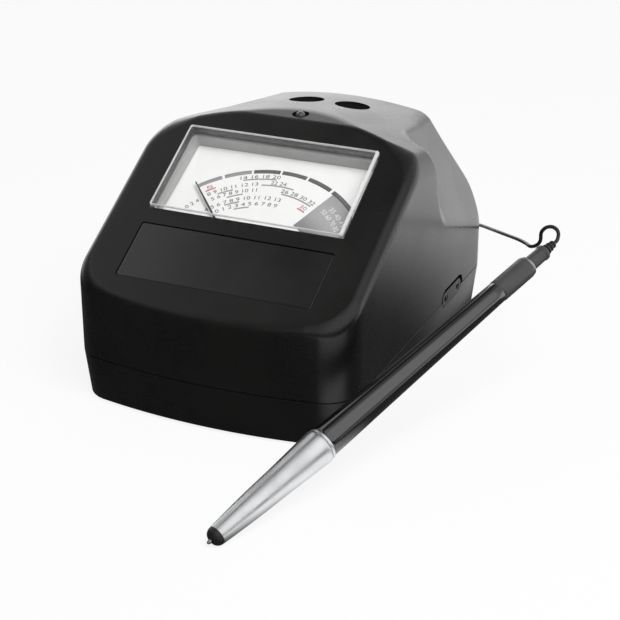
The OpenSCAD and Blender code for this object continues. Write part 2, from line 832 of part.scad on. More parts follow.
module at_pin_holes() {
    for (s = [-1, 1]) translate([jack_x - jack_depth, jack_y + s * jack_pitch / 2, part_z])
        rotate([0, 90, 0]) children();
}

module power_socket() {
    color(black) difference() {
        union() {
            jack_form(jack_w, jack_h, jack_x - jack_len, jack_x);
            jack_form(jack_w + 2 * jack_flange, jack_h + 2 * jack_flange, jack_back - jack_flange_t,
                jack_back);
        }
        at_pin_holes() cylinder(h = jack_depth + 1, r = jack_sleeve_r + eps);
    }
}

module power_socket_sleeves() {
    color(brass) at_pin_holes() ring(jack_sleeve_r, jack_r, jack_depth - 0.2);
}

module probe_socket() {
    color(black) translate([sock_x, ry, sock_z]) rotate([90, 0, 0]) difference() {
        union() {
            cylinder(h = sock_len, r = sock_nose_r);
            translate([0, 0, wall + 0.1]) cylinder(h = 1.6, r = sock_flange_r);
        }
        translate([0, 0, -1]) cylinder(h = plug_pin_len + 1.5, r = plug_pin_r + run);
    }
}

// Buttons and lamp

module button(sx) {
    color(black) on_top(sx * button_u, button_t, 0) {
        translate([0, 0, flange_w - flange_t]) cylinder(h = cap_w - flange_w + flange_t, r = button_r);
        translate([0, 0, flange_w - flange_t]) cylinder(h = flange_t, r = flange_r);
        translate([0, 0, stem_w1]) cylinder(h = post_len + eps, r = stem_r);
    }
}

module left_button() {
    button(-1);
}

module right_button() {
    button(1);
}

module switch_stem(sx) {
    color(white) on_top(sx * button_u, button_t, stem_w0) cylinder(h = stem_w1 - stem_w0, r = stem_r);
}

module left_switch_stem() {
    switch_stem(-1);
}

module right_switch_stem() {
    switch_stem(1);
}

module switch_bodies() {
    for (sx = [-1, 1]) color(charcoal) on_top(sx * button_u, button_t, switch_board_w1) difference() {
        translate([-switch_side / 2, -switch_side / 2, 0]) cube([switch_side, switch_side, switch_h]);
        translate([0, 0, switch_h - 2.4]) cylinder(h = 3, r = stem_r + run);
    }
}

module switch_board() {
    color(board_green) on_top(0, 0, switch_board_w1 - board_t) difference() {
        translate([-switch_board_w / 2, switch_board_t0, 0])
            cube([switch_board_w, switch_board_t1 - switch_board_t0, board_t]);
        for (sx = [-1, 1]) translate([sx * switch_boss_u, button_t, -1])
            cylinder(h = board_t + 2, r = pilot_r + gap);
    }
}

module switch_board_screws() {
    for (sx = [-1, 1]) color(steel) on_top(sx * switch_boss_u, button_t, switch_board_w1 - board_t)
        screw(pilot_r - 0.1, small_screw_len, small_head_r, small_head_h);
}

module ready_lamp() {
    color([0.8, 0.9, 0.8]) translate([0, crest_y + lamp_y, lamp_z - lamp_body]) {
        cylinder(h = lamp_body - 0.6, r = lamp_r);
        translate([0, 0, lamp_body - 0.6]) intersection() {
            sphere(lamp_r);
            translate([-2, -2, -eps]) cube(4);
        }
        cylinder(h = lamp_flange, r = lamp_r + 0.4);
    }
}

module lamp_ring() {
    color(black) translate([0, crest_y + lamp_y, lamp_z - wall])
        ring(lamp_ring_r, lamp_r + run, wall - 0.4);
}

// Meter

module meter_window() {
    h = lens_rise - rim_w;
    color([0.85, 0.9, 0.92, 0.4]) on_face(0, win_v + win_h / 2, rim_w) difference() {
        union() {
            translate([-win_w / 2 + gap, -win_h / 2 + gap, 0]) cube([win_w - 2 * gap, win_h - 2 * gap, h]);
            translate([-win_w / 2 - lens_flange_w, -win_h / 2 - lens_flange_w, 0])
                cube([win_w + 2 * lens_flange_w, win_h + 2 * lens_flange_w, lens_flange_t - 0.02]);
        }
        translate([-win_w / 2 + lens_t, -win_h / 2 + lens_t, -1])
            cube([win_w - 2 * lens_t, win_h - 2 * lens_t, h + 1 - lens_t]);
    }
}

module meter_case() {
    ear_in = case_w / 2 - case_t / 2;
    color(white) difference() {
        union() {
            difference() {
                on_face(-case_w / 2, case_v0, -case_depth)
                    cube([case_w, case_v1 - case_v0, case_depth + rim_w]);
                on_face(-case_w / 2 + case_t, case_v0 + case_t, case_floor_w)
                    cube([case_w - 2 * case_t, case_v1 - case_v0 - 2 * case_t, case_depth]);
            }
            for (sx = [-1, 1], v = dial_post_v) on_face(sx * dial_post_u, v, case_floor_w - 0.5)
                cylinder(h = -dial_depth - dial_t - case_floor_w + 0.5, r = 2);
            for (sx = [-1, 1], v = ear_v) on_face(sx > 0 ? ear_in : -ear_u - ear_half, v - ear_wide / 2,
                ear_w - ear_t)
                cube([ear_u + ear_half - ear_in, ear_wide, ear_t]);
            on_face(pivot_u, pivot_v, case_floor_w - 0.5)
                ring(magnet_r, gap_r, magnet_w - case_floor_w + 0.5);
        }
        for (sx = [-1, 1], v = ear_v) on_face(sx * ear_u, v, ear_w - ear_t - 1)
            cylinder(h = ear_t + 2, r = pilot_r + gap);
        on_face(pivot_u, pivot_v, case_floor_w - 0.9) cylinder(h = 2, r = pivot_r + run);
    }
}

module meter_screws() {
    for (sx = [-1, 1], v = ear_v) color(steel) on_face(sx * ear_u, v, ear_w - ear_t)
        screw(pilot_r - 0.1, small_screw_len, small_head_r, small_head_h);
}

module dial_plate() {
    color(white) on_face(0, 0, -dial_depth - dial_t) difference() {
        translate([-case_w / 2 + case_t + gap, case_v0 + case_t + gap, 0])
            cube([case_w - 2 * case_t - 2 * gap, case_v1 - case_v0 - 2 * case_t - 2 * gap, dial_t]);
        translate([pivot_u, pivot_v, -1]) cylinder(h = 3, r = 3);
    }
}

module ring_magnet() {
    color(steel) on_face(pivot_u, pivot_v, magnet_w) ring(magnet_r, gap_r, magnet_h);
}

module iron_core() {
    color(charcoal) on_face(pivot_u, pivot_v, core_w) {
        cylinder(h = core_h, r = core_r);
        intersection() {
            translate([-gap_r, -1.5, core_h / 4]) cube([2 * gap_r, 3, core_h / 2]);
            cylinder(h = core_h, r = gap_r - 0.01);
        }
    }
}

module meter_bridge() {
    color(brass) on_face(pivot_u, pivot_v, 0) difference() {
        union() {
            translate([-post_u - bridge_half, -bridge_half, bridge_w - eps])
                cube([2 * (post_u + bridge_half), 2 * bridge_half, bridge_t + eps]);
            for (sx = [-1, 1]) translate([sx * post_u, 0, magnet_w + magnet_h])
                cylinder(h = bridge_w - magnet_w - magnet_h, r = post_r);
        }
        translate([0, 0, bridge_w - 1]) cylinder(h = bridge_t + 2, r = pivot_r + run);
    }
}

module moving_coil() {
    color([0.7, 0.4, 0.2]) on_face(pivot_u, pivot_v, 0) rotate([0, 0, needle_rest]) difference() {
        translate([-coil_wide / 2, -coil_out_r, coil_w0])
            cube([coil_wide, 2 * coil_out_r, coil_w1 - coil_w0]);
        translate([-coil_wide, -coil_in_r, coil_w0 + coil_bar])
            cube([2 * coil_wide, 2 * coil_in_r, coil_w1 - coil_w0 - 2 * coil_bar]);
    }
}

module coil_pivots() {
    color(steel) on_face(pivot_u, pivot_v, 0) {
        translate([0, 0, coil_w1]) cylinder(h = needle_w0 + needle_t + 0.4 - coil_w1, r = pivot_r);
        translate([0, 0, case_floor_w - 0.8]) cylinder(h = coil_w0 - case_floor_w + 0.8, r = pivot_r);
    }
}

module needle() {
    color(black) on_face(pivot_u, pivot_v, needle_w0) rotate([0, 0, needle_rest]) difference() {
        union() {
            translate([-needle_w / 2, 0, 0]) cube([needle_w, needle_len, needle_t]);
            translate([-needle_w, -8, 0]) cube([2 * needle_w, 8, needle_t]);
            cylinder(h = needle_t, r = 1.6);
        }
        translate([0, 0, -1]) cylinder(h = 3, r = pivot_r + 0.02);
    }
}

// Wand

// A solid of revolution about the wand's axis, from [radius, distance] points
module turned(points) {
    on_wand(0) rotate_extrude() polygon(points);
}

module probe_pin() {
    color(brass) on_wand(0) {
        cylinder(h = pin_r, r1 = pin_r / 2, r2 = pin_r);
        translate([0, 0, pin_r - eps]) cylinder(h = block_s0 - pin_r + eps, r = pin_r);
    }
}

module heater_block() {
    color(brass) on_wand(block_s0) cylinder(h = block_len, r = block_r);
}

module pin_spring() {
    color(steel) on_wand(block_s0 + block_len) ring(block_r - 0.2, block_r - 0.7,
        spring_s1 - block_s0 - block_len);
}

module nose_insulator() {
    inner = nose_r - cone_t - run;
    color(black) turned([
        [pin_r + run, pin_out],
        [nose_r * 0.5, pin_out + nose_len * 0.12],
        [nose_r * 0.78, pin_out + nose_len * 0.38],
        [nose_r * 0.94, pin_out + nose_len * 0.7],
        [nose_r, cone_s0],
        [inner, cone_s0],
        [inner, cone_s0 + insulator_len],
        [pin_r + run, cone_s0 + insulator_len]
    ]);
}

module nose_cone() {
    inner = nose_r - cone_t;
    stop = spring_s1;
    color(steel) turned([
        [inner, cone_s0],
        [nose_r, cone_s0],
        [cone_r - 0.3, cone_s1 - 0.4],
        [cone_r - 0.3, cone_s1],
        [1, cone_s1],
        [1, stop],
        [inner, stop]
    ]);
}

module wand_ring() {
    color(steel) turned([[1.2, cone_s1], [cone_r - 0.25, cone_s1], [cone_r - 0.25, barrel_s0],
        [1.2, barrel_s0]]);
}

module wand_barrel() {
    color(black) turned([
        [barrel_r1 - 0.5, barrel_s0],
        [barrel_r1, barrel_s0 + 0.6],
        [barrel_r2, barrel_s1],
        [barrel_r2 - barrel_t, barrel_s1],
        [barrel_r2 - barrel_t, barrel_s0 + 3],
        [1.2, barrel_s0 + 3],
        [1.2, barrel_s0]
    ]);
}

module wand_board() {
    color(board_green) on_wand(barrel_s0 + 8) translate([-1.9, -0.5, 0]) cube([3.8, 1, barrel_len * 0.6]);
}

module tail_collar() {
    color(charcoal) turned([
        [barrel_r2 - barrel_t - 0.4, barrel_s1],
        [barrel_r2, barrel_s1],
        [collar_r, barrel_s1 + 0.8],
        [collar_r, collar_s1],
        [1.2, collar_s1],
        [1.2, collar_s1 - 2],
        [barrel_r2 - barrel_t - 0.4, collar_s1 - 2]
    ]);
}

module collar_ring() {
    color(steel) turned([[1.2, collar_s1], [collar_r - 0.2, collar_s1], [collar_r - 0.2, sleeve_s0],
        [1.2, sleeve_s0]]);
}

module tail_sleeve() {
    color(black) turned([
        [1.2, sleeve_s0],
        [sleeve_r, sleeve_s0],
        [sleeve_r - 0.1, sleeve_s1 - 1.4],
        [sleeve_r + 0.1, sleeve_s1 - 1.2],
        [sleeve_r + 0.1, sleeve_s1],
        [1.2, sleeve_s1]
    ]);
}

module strain_relief() {
    pitch = (relief_len - 1) / relief_ribs;
    color(black) turned(concat(
        [[0.4, sleeve_s1]],
        [for (i = [0 : relief_ribs - 1]) each [
            [relief_r - 0.1 * i, sleeve_s1 + pitch * i],
            [relief_r - 0.1 * i, sleeve_s1 + pitch * (i + 0.6)],
            [relief_r - 0.6, sleeve_s1 + pitch * (i + 0.65)],
            [relief_r - 0.6, sleeve_s1 + pitch * (i + 0.95)]
        ]],
        [[1.1, relief_s1 - 1], [1.1, relief_s1], [0.4, relief_s1]]
    ));
}

// Lead

function unit(v) = v / norm(v);
function spline(a, b, c, d, t) = 0.5 * (2 * b + (c - a) * t + (2 * a - 5 * b + 4 * c - d) * t * t
    + (3 * b - a - 3 * c + d) * t * t * t);
function smooth_route(p, n) = let (m = len(p) - 1) concat(
    [for (i = [0 : m - 1], k = [0 : n - 1])
        spline(p[max(0, i - 1)], p[i], p[i + 1], p[min(m, i + 2)], k / n)],
    [p[m]]
);
function heading(p, i) = unit(p[min(len(p) - 1, i + 1)] - p[max(0, i - 1)]);
function across(h) = unit(cross(h, abs(h[2]) < 0.9 ? [0, 0, 1] : [1, 0, 0]));
function frames(p) = [
    for (i = 0, h = heading(p, 0), q = across(h); i < len(p); i = i + 1,
        h = heading(p, min(i, len(p) - 1)), q = unit(q - (q * h) * h)) [q, cross(h, q)]
];

// A tube of one closed skin along points, with the given number of sides
module tube(p, r, sides) {
    f = frames(p);
    m = len(p) - 1;
    points = [for (i = [0 : m], k = [0 : sides - 1])
        p[i] + r * (cos(360 * k / sides) * f[i][0] + sin(360 * k / sides) * f[i][1])];
    skin = [for (i = [0 : m - 1], k = [0 : sides - 1]) let (
        a = i * sides + k, b = i * sides + (k + 1) % sides, c = a + sides, d = b + sides)
            each [[a, c, b], [b, c, d]]];
    front = [for (k = [1 : sides - 2]) [0, k, k + 1]];
    back = [for (k = [1 : sides - 2]) [m * sides, m * sides + k + 1, m * sides + k]];
    polyhedron(points, concat(skin, front, back));
}

module probe_plug() {
    color(black) translate([sock_x, ry, sock_z]) rotate([-90, 0, 0]) {
        translate([0, 0, 0.1]) cylinder(h = plug_len - 0.1, r = plug_r);
        translate([0, 0, -plug_pin_len]) cylinder(h = plug_pin_len + 1, r = plug_pin_r);
    }
}

module plug_boot() {
    color(charcoal) translate([sock_x, ry + plug_len, sock_z]) rotate([-90, 0, 0])
        cylinder(h = boot_len, r1 = boot_r, r2 = lead_r + 0.6);
}

module lead_drop() {
    color(black) tube(smooth_route(drop_route, 3), lead_r, 8);
}

module lead_coil() {
    color(black) tube(coil_path, lead_r, 6);
}

module lead_tie() {
    t = 0.5;
    tie_w = 4;
    r0 = sqrt(pow(coil_in - lead_r, 2) - pow(tie_w / 2, 2)) - 0.2;
    r1 = coil_outer + lead_r + 0.2;
    z1 = coil_lift + (coil_layers - 1) * coil_layer_h + lead_d + 0.2;
    color(charcoal) translate([coil_x, coil_y, 0]) difference() {
        translate([-r1 - t, -tie_w / 2, 0]) cube([r1 - r0 + 2 * t, tie_w, z1 + t]);
        translate([-r1, -tie_w, t]) cube([r1 - r0, 2 * tie_w, z1 - t]);
    }
}

module lead_run() {
    color(black) tube(smooth_route(run_route, 3), lead_r, 8);
}

base_pan();
upper_housing();
label_plate();
battery_door();
battery_cells();
cell_contacts();
rubber_feet();
case_screws();
main_board();
control_chip();
board_capacitors();
buzzer();
board_screws();
power_socket();
power_socket_sleeves();
probe_socket();
left_button();
right_button();
left_switch_stem();
right_switch_stem();
switch_bodies();
switch_board();
switch_board_screws();
ready_lamp();
lamp_ring();
meter_window();
meter_case();
meter_screws();
dial_plate();
ring_magnet();
iron_core();
meter_bridge();
moving_coil();
coil_pivots();
needle();
probe_pin();
heater_block();
pin_spring();
nose_insulator();
nose_cone();
wand_ring();
wand_barrel();
wand_board();
tail_collar();
collar_ring();
tail_sleeve();
strain_relief();
probe_plug();
plug_boot();
lead_drop();
lead_coil();
lead_tie();
lead_run();
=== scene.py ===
"""Looks of a desk-top gemstone tester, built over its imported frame.

Sizes are in millimetres in the classes and become metres where a mesh is made. The front of the
tester faces -Y, +Z is up and the origin lies on the table under the middle of the body.
"""

import logging
import math
from dataclasses import dataclass, field
from enum import Enum
from typing import Iterable, Optional, Sequence

import bmesh
import bpy
import numpy as np
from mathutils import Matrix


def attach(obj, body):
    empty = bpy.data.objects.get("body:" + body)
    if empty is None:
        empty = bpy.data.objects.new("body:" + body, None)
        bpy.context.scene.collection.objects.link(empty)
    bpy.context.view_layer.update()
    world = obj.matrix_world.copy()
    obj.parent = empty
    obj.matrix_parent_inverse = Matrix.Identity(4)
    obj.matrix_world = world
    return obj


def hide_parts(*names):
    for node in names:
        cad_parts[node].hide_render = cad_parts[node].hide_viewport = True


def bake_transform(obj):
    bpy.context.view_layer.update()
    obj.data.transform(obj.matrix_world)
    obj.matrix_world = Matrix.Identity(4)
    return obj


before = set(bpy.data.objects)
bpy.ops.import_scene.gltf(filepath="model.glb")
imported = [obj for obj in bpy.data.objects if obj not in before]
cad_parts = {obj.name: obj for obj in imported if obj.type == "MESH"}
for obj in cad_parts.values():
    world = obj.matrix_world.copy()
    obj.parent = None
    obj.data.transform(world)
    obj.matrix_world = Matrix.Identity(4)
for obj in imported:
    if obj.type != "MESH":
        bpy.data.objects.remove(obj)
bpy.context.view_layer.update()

MM = 0.001
LOG = logging.getLogger("tester")

Colour = tuple[float, float, float]
Point = tuple[float, float, float]
Pair = tuple[float, float]
Shape = tuple[np.ndarray, list]

RIGHT, REAR, UP, DOWN = (1.0, 0.0, 0.0), (0.0, 1.0, 0.0), (0.0, 0.0, 1.0), (0.0, 0.0, -1.0)
WHITE = (1.0, 1.0, 1.0, 1.0)

# Places that more than one sub-assembly uses, in millimetres
BUTTON_SPOT = (8.3, 26.0)
LAMP_SPOT = (0.0, 9.206, 78.704)
LEAD_SOCKET = (28.0, 66.0, 26.0)
WINDOW, WINDOW_MID = (66.0, 34.6), 55.0
WAND_TIP, WAND_AXIS, WAND_END = (32.0, -123.5, 1.678), (0.36354, 0.87766, 0.31234), 150.0

# Radius at which a profile meets the axis that it is turned about
CORE = 0.02
# Height of a capital as a share of the font's size
CAPITAL = 0.7
# Distance in metres within which two points of a new mesh are one
MERGE = 2e-7
# Angles in degrees past which an edge stays sharp: of a new piece, a copied one and a cut one
MADE_EDGE, COPIED_EDGE, CUT_EDGE = 40.0, 30.0, 35.0
# Angle in degrees past which an edge of a copied piece is rounded
ROUNDED_EDGE = 25.0
# Roughness of every clear coat
COAT_ROUGH = 0.08


# ---------------------------------------------------------------------------------------------
# Places and surfaces


@dataclass(frozen=True)
class Placing:
    """A frame set on the object: an origin and two axes, in millimetres.

    Attributes:
        origin: The point that the frame starts from.
        across: The unit axis of its first coordinate.
        along: The unit axis of its second coordinate.
    """

    origin: Point
    across: Point
    along: Point

    def at(self, a: np.ndarray, b: np.ndarray, c: np.ndarray) -> np.ndarray:
        """Turns coordinates in this frame into points in metres.

        The point is the origin plus a, b and c times the three axes, of which the third is the
        cross product of the other two.

        Args:
            a: Distances across.
            b: Distances along.
            c: Distances out of the frame's plane.

        Returns:
            The points, with x, y and z in the last axis of the array.
        """
        a, b, c = np.broadcast_arrays(*(np.asarray(v, float) for v in (a, b, c)))
        x, y = np.array(self.across), np.array(self.along)
        local = a[..., None] * x + b[..., None] * y + c[..., None] * np.cross(x, y)
        return (np.array(self.origin) + local) * MM


def slope(origin: Point, degrees: float) -> Placing:
    """A frame across the body whose second axis climbs to the rear at an angle."""
    t = math.radians(degrees)
    return Placing(origin, RIGHT, (0.0, math.cos(t), math.sin(t)))


BENCH = Placing((0.0, 0.0, 0.0), RIGHT, REAR)
PLUG = Placing(LEAD_SOCKET, RIGHT, DOWN)


def grid_faces(rows: int, cols: int, loop_rows: bool, loop_cols: bool) -> list:
    """Lists the quads of a grid of points.

    Args:
        rows: Rows of points.
        cols: Points in a row.
        loop_rows: Whether the last row joins the first.
        loop_cols: Whether the last point of a row joins its first.

    Returns:
        Four point numbers for each quad.
    """
    i = np.arange(rows if loop_rows else rows - 1)[:, None]
    j = np.arange(cols if loop_cols else cols - 1)[None, :]
    k, n = (j + 1) % cols, (i + 1) % rows
    quads = np.broadcast_arrays(i * cols + j, i * cols + k, n * cols + k, n * cols + j)
    return np.stack(quads, -1).reshape(-1, 4).tolist()


def loft(rings: np.ndarray, loop: bool = False) -> Shape:
    """Skins a row of closed rings.

    Each ring is joined to the next by quads, and the first and last are closed by a flat face
    unless the row of rings itself closes on itself.

    Args:
        rings: Points as ring, place in the ring, xyz.
        loop: Whether the last ring joins the first.

    Returns:
        The points and the faces.
    """
    rows, cols = rings.shape[:2]
    faces = grid_faces(rows, cols, loop, True)
    if not loop:
        faces += [list(range(cols))[::-1], list(range((rows - 1) * cols, rows * cols))]
    return rings.reshape(-1, 3), faces


def eased(corners: Sequence[tuple[float, float, float]], steps: int = 5) -> np.ndarray:
    """Rounds a line through corners.

    A corner with a radius is replaced by the quadratic curve that leaves one side and joins the
    other at the radius divided by the tangent of half the angle between the sides.

    Args:
        corners: First value, second value and radius of each corner.
        steps: Pieces in each rounding.

    Returns:
        The points of the rounded line, two values each.
    """
    table = np.array(corners, float)
    p, out, t = table[:, :2], [], np.linspace(0.0, 1.0, steps + 1)[:, None]
    for i, r in enumerate(table[:, 2]):
        if r <= 0 or i in (0, len(p) - 1):
            out.append(p[i : i + 1])
            continue
        back, on = p[i - 1] - p[i], p[i + 1] - p[i]
        lb, lo = np.linalg.norm(back), np.linalg.norm(on)
        cosine = np.clip(back @ on / (lb * lo), -0.999, 0.999)
        reach = min(r / math.tan(math.acos(cosine) / 2), 0.49 * lb, 0.49 * lo)
        a, b = p[i] + back / lb * reach, p[i] + on / lo * reach
        out.append((1 - t) ** 2 * a + 2 * t * (1 - t) * p[i] + t**2 * b)
    return np.concatenate(out)


def turned(line: np.ndarray, at: Placing, sides: int = 64, loop: bool = False) -> Shape:
    """Turns a profile about the third axis of a frame.

    Each point of the profile, a radius and a distance, sweeps the circle of that radius at that
    distance.

    Args:
        line: Radius and distance of each point.
        at: The frame whose third axis is turned about.
        sides: Points in each circle.
        loop: Whether the profile is a closed loop.

    Returns:
        The points and the faces.
    """
    a = np.linspace(0.0, 2 * np.pi, sides, endpoint=False)
    r = np.maximum(line[:, :1], 0.005)
    return loft(at.at(r * np.cos(a), r * np.sin(a), line[:, 1:2]), loop)


def rounded_outline(w: float, h: float, r: float, steps: int = 6) -> np.ndarray:
    """The outline of a rectangle with round corners, centred on the origin.

    Each corner is a quarter circle about a point one radius in from both sides.

    Args:
        w: Width.
        h: Height.
        r: Radius of the corners.
        steps: Pieces in each corner.

    Returns:
        The points, going round anticlockwise.
    """
    a = np.linspace(0.0, np.pi / 2, steps + 1)
    turn = np.arange(4)[:, None] * np.pi / 2
    side = np.array([[1, 1], [-1, 1], [-1, -1], [1, -1]], float)
    x = side[:, :1] * (w / 2 - r) + r * np.cos(a + turn)
    y = side[:, 1:] * (h / 2 - r) + r * np.sin(a + turn)
    return np.stack([x, y], -1).reshape(-1, 2)


def upright(low: float, high: float) -> np.ndarray:
    """The profile of a plate's upright edge between two heights."""
    return np.array(((0.0, low), (0.0, high)))


def slab(at: Placing, mid: Pair, size: tuple[float, float, float], line: np.ndarray,
         loop: bool = False) -> Shape:
    """A plate whose edge follows a profile all the way round a rounded rectangle.

    Each point of the profile is an inset from the outline and a height, so each ring is the
    outline drawn in by the inset and set at the height.

    Args:
        at: The frame that the plate lies in.
        mid: The plate's middle in that frame.
        size: Width, height and corner radius.
        line: Inset and height of each ring.
        loop: Whether the profile closes on itself, which makes a frame.

    Returns:
        The points and the faces.
    """
    w, h, r = size
    rings = []
    for inset, height in line:
        xy = rounded_outline(w - 2 * inset, h - 2 * inset, max(r - inset, 0.05))
        rings.append(at.at(mid[0] + xy[:, 0], mid[1] + xy[:, 1], height))
    return loft(np.stack(rings), loop)


def joined(shapes: Iterable[Shape]) -> Shape:
    """Puts several shapes into one, in order.

    Args:
        shapes: The shapes.

    Returns:
        All points and all faces.
    """
    points, faces, count = [], [], 0
    for p, f in shapes:
        points.append(p)
        faces += [[n + count for n in face] for face in f]
        count += len(p)
    return np.concatenate(points), faces


def spline(points: np.ndarray, steps: int) -> np.ndarray:
    """A smooth curve through points.

    Between each two points it is the cubic whose slope at each is half the way from the point
    before to the point after.

    Args:
        points: The points, which the curve passes through.
        steps: Pieces from point to point.

    Returns:
        The points of the curve.
    """
    p = np.concatenate([points[:1], points, points[-1:]])
    a, b, c, d = p[:-3, None], p[1:-2, None], p[2:-1, None], p[3:, None]
    t = (np.arange(steps) / steps)[None, :, None]
    square, cube = 2 * a - 5 * b + 4 * c - d, 3 * b - a - 3 * c + d
    cubic = 2 * b + (c - a) * t + square * t**2 + cube * t**3
    return np.concatenate([(cubic / 2).reshape(-1, 3), points[-1:]])


def hose(path: np.ndarray, radius: float, sides: int = 12) -> Shape:
    """A round tube along a path, in millimetres.

    Each ring is a circle square to the path. The first axis of each circle is the one before
    it, turned by as much as the path turns.

    Args:
        path: Points of the centreline.
        radius: Radius of the tube.
        sides: Points in each ring.

    Returns:
        The points and the faces.
    """
    ahead = np.gradient(path, axis=0)
    ahead /= np.linalg.norm(ahead, axis=1, keepdims=True)
    axis = np.cross(ahead[0], UP)
    axes = []
    for h in ahead:
        axis = axis - (axis @ h) * h
        axis = axis / np.linalg.norm(axis)
        axes.append(axis)
    x = np.stack(axes)
    y = np.cross(ahead, x)
    a = np.linspace(0.0, 2 * np.pi, sides, endpoint=False)[None, :, None]
    return loft((path[:, None] + radius * (np.cos(a) * x[:, None] + np.sin(a) * y[:, None])) * MM)


def linked(name: str, data: bpy.types.ID) -> bpy.types.Object:
    """Puts a mesh, a curve, a lamp or a camera into the scene.

    Args:
        name: The object's name.
        data: What it shows.

    Returns:
        The object.
    """
    obj = bpy.data.objects.new(name, data)
    bpy.context.scene.collection.objects.link(obj)
    return obj


def evaluated(obj: bpy.types.Object) -> bpy.types.Mesh:
    """A new mesh of an object, with its modifiers applied.

    Args:
        obj: The object.

    Returns:
        The mesh.
    """
    bpy.context.view_layer.update()
    graph = bpy.context.evaluated_depsgraph_get()
    return bpy.data.meshes.new_from_object(obj.evaluated_get(graph))


def points_of(mesh: bpy.types.Mesh) -> np.ndarray:
    """The places of a mesh's points, one row each.

    Args:
        mesh: The mesh.

    Returns:
        The points, in the mesh's own units.
    """
    co = np.zeros(len(mesh.vertices) * 3)
    mesh.vertices.foreach_get("co", co)
    return co.reshape(-1, 3)


def lettering(words: str, height: float) -> Shape:
    """Flat lettering about the origin, in the xy plane, in millimetres.

    Args:
        words: What it says.
        height: Height of a capital.

    Returns:
        The points and the faces.
    """
    curve = bpy.data.curves.new("lettering", "FONT")
    curve.body, curve.size = words, height / CAPITAL
    curve.align_x, curve.resolution_u = "CENTER", 3
    obj = linked("lettering", curve)
    mesh = evaluated(obj)
    shape = points_of(mesh), [list(p.vertices) for p in mesh.polygons]
    bpy.data.objects.remove(obj)
    bpy.data.curves.remove(curve)
    bpy.data.meshes.remove(mesh)
    return shape


# ---------------------------------------------------------------------------------------------
# Finishes


class Graph:
    """A node tree that is filled one node at a time."""

    def __init__(self, tree: bpy.types.NodeTree) -> None:
        """Keeps the tree that is filled."""
        self.tree = tree

    def add(self, kind: str, inputs: Optional[dict] = None, **settings) -> bpy.types.Node:
        """Adds a node.

        Args:
            kind: The node's type.
            inputs: Values or sockets for its inputs, by name or number.
            settings: Its other properties.

        Returns:
            The node.
        """
        node = self.tree.nodes.new(kind)
        for key, value in settings.items():
            setattr(node, key, value)
        for key, value in (inputs or {}).items():
            self.set(node.inputs[key], value)
        return node

    def set(self, socket: bpy.types.NodeSocket, value: object) -> None:
        """Links a socket to another, or gives it a value.

        Args:
            socket: The input socket.
            value: Its value, or the socket that feeds it.
        """
        if isinstance(value, bpy.types.NodeSocket):
            self.tree.links.new(value, socket)
        else:
            socket.default_value = value

    def math(self, how: str, a: object, b: object, clamp: bool = False) -> bpy.types.NodeSocket:
        """The result of an operation on two values or sockets."""
        return self.add("ShaderNodeMath", {0: a, 1: b}, operation=how, use_clamp=clamp).outputs[0]

    def times(self, a: object, b: object) -> bpy.types.NodeSocket:
        """Two values or sockets multiplied."""
        return self.math("MULTIPLY", a, b)

    def larger(self, a: object, b: object) -> bpy.types.NodeSocket:
        """The larger of two values or sockets."""
        return self.math("MAXIMUM", a, b)

    def ramp(self, value: object, low: float, high: float,
             out: Pair = (0.0, 1.0)) -> bpy.types.NodeSocket:
        """A value carried smoothly from one range to another.

        Args:
            value: The value.
            low: The value that gives the first result.
            high: The value that gives the second.
            out: The two results.

        Returns:
            The result.
        """
        inputs = {"Value": value, "From Min": low, "From Max": high,
                  "To Min": out[0], "To Max": out[1]}
        return self.add("ShaderNodeMapRange", inputs, interpolation_type="SMOOTHSTEP").outputs[0]

    def noise(self, where: object, scale: object, detail: float,
              rough: float = 0.5) -> bpy.types.NodeSocket:
        """Noise over the surface, from 0 to 1."""
        inputs = {"Vector": where, "Scale": scale, "Detail": detail, "Roughness": rough}
        return self.add("ShaderNodeTexNoise", inputs).outputs[0]

    def bump(self, shader: bpy.types.Node, strength: float, depth: float, height: object) -> None:
        """Roughens a shader's surface by a height, with its depth in millimetres."""
        inputs = {"Strength": strength, "Distance": depth * MM, "Height": height}
        self.set(shader.inputs["Normal"], self.add("ShaderNodeBump", inputs).outputs[0])

    def either(self, share: object, a: object, b: object) -> bpy.types.NodeSocket:
        """A shader between two shaders."""
        return self.add("ShaderNodeMixShader", {0: share, 1: a, 2: b}).outputs[0]

    def mix(self, share: object, a: object, b: object) -> bpy.types.NodeSocket:
        """A colour between two colours.

        Args:
            share: Share of the second.
            a: The first colour.
            b: The second.

        Returns:
            The colour.
        """
        node = self.add("ShaderNodeMix", data_type="RGBA")
        for key, value in ((0, share), (6, a), (7, b)):
            self.set(node.inputs[key], value)
        return node.outputs[2]


def rgba(colour: Colour, times: float = 1.0) -> tuple[float, float, float, float]:
    """A colour with full alpha, made lighter or darker."""
    return (colour[0] * times, colour[1] * times, colour[2] * times, 1.0)


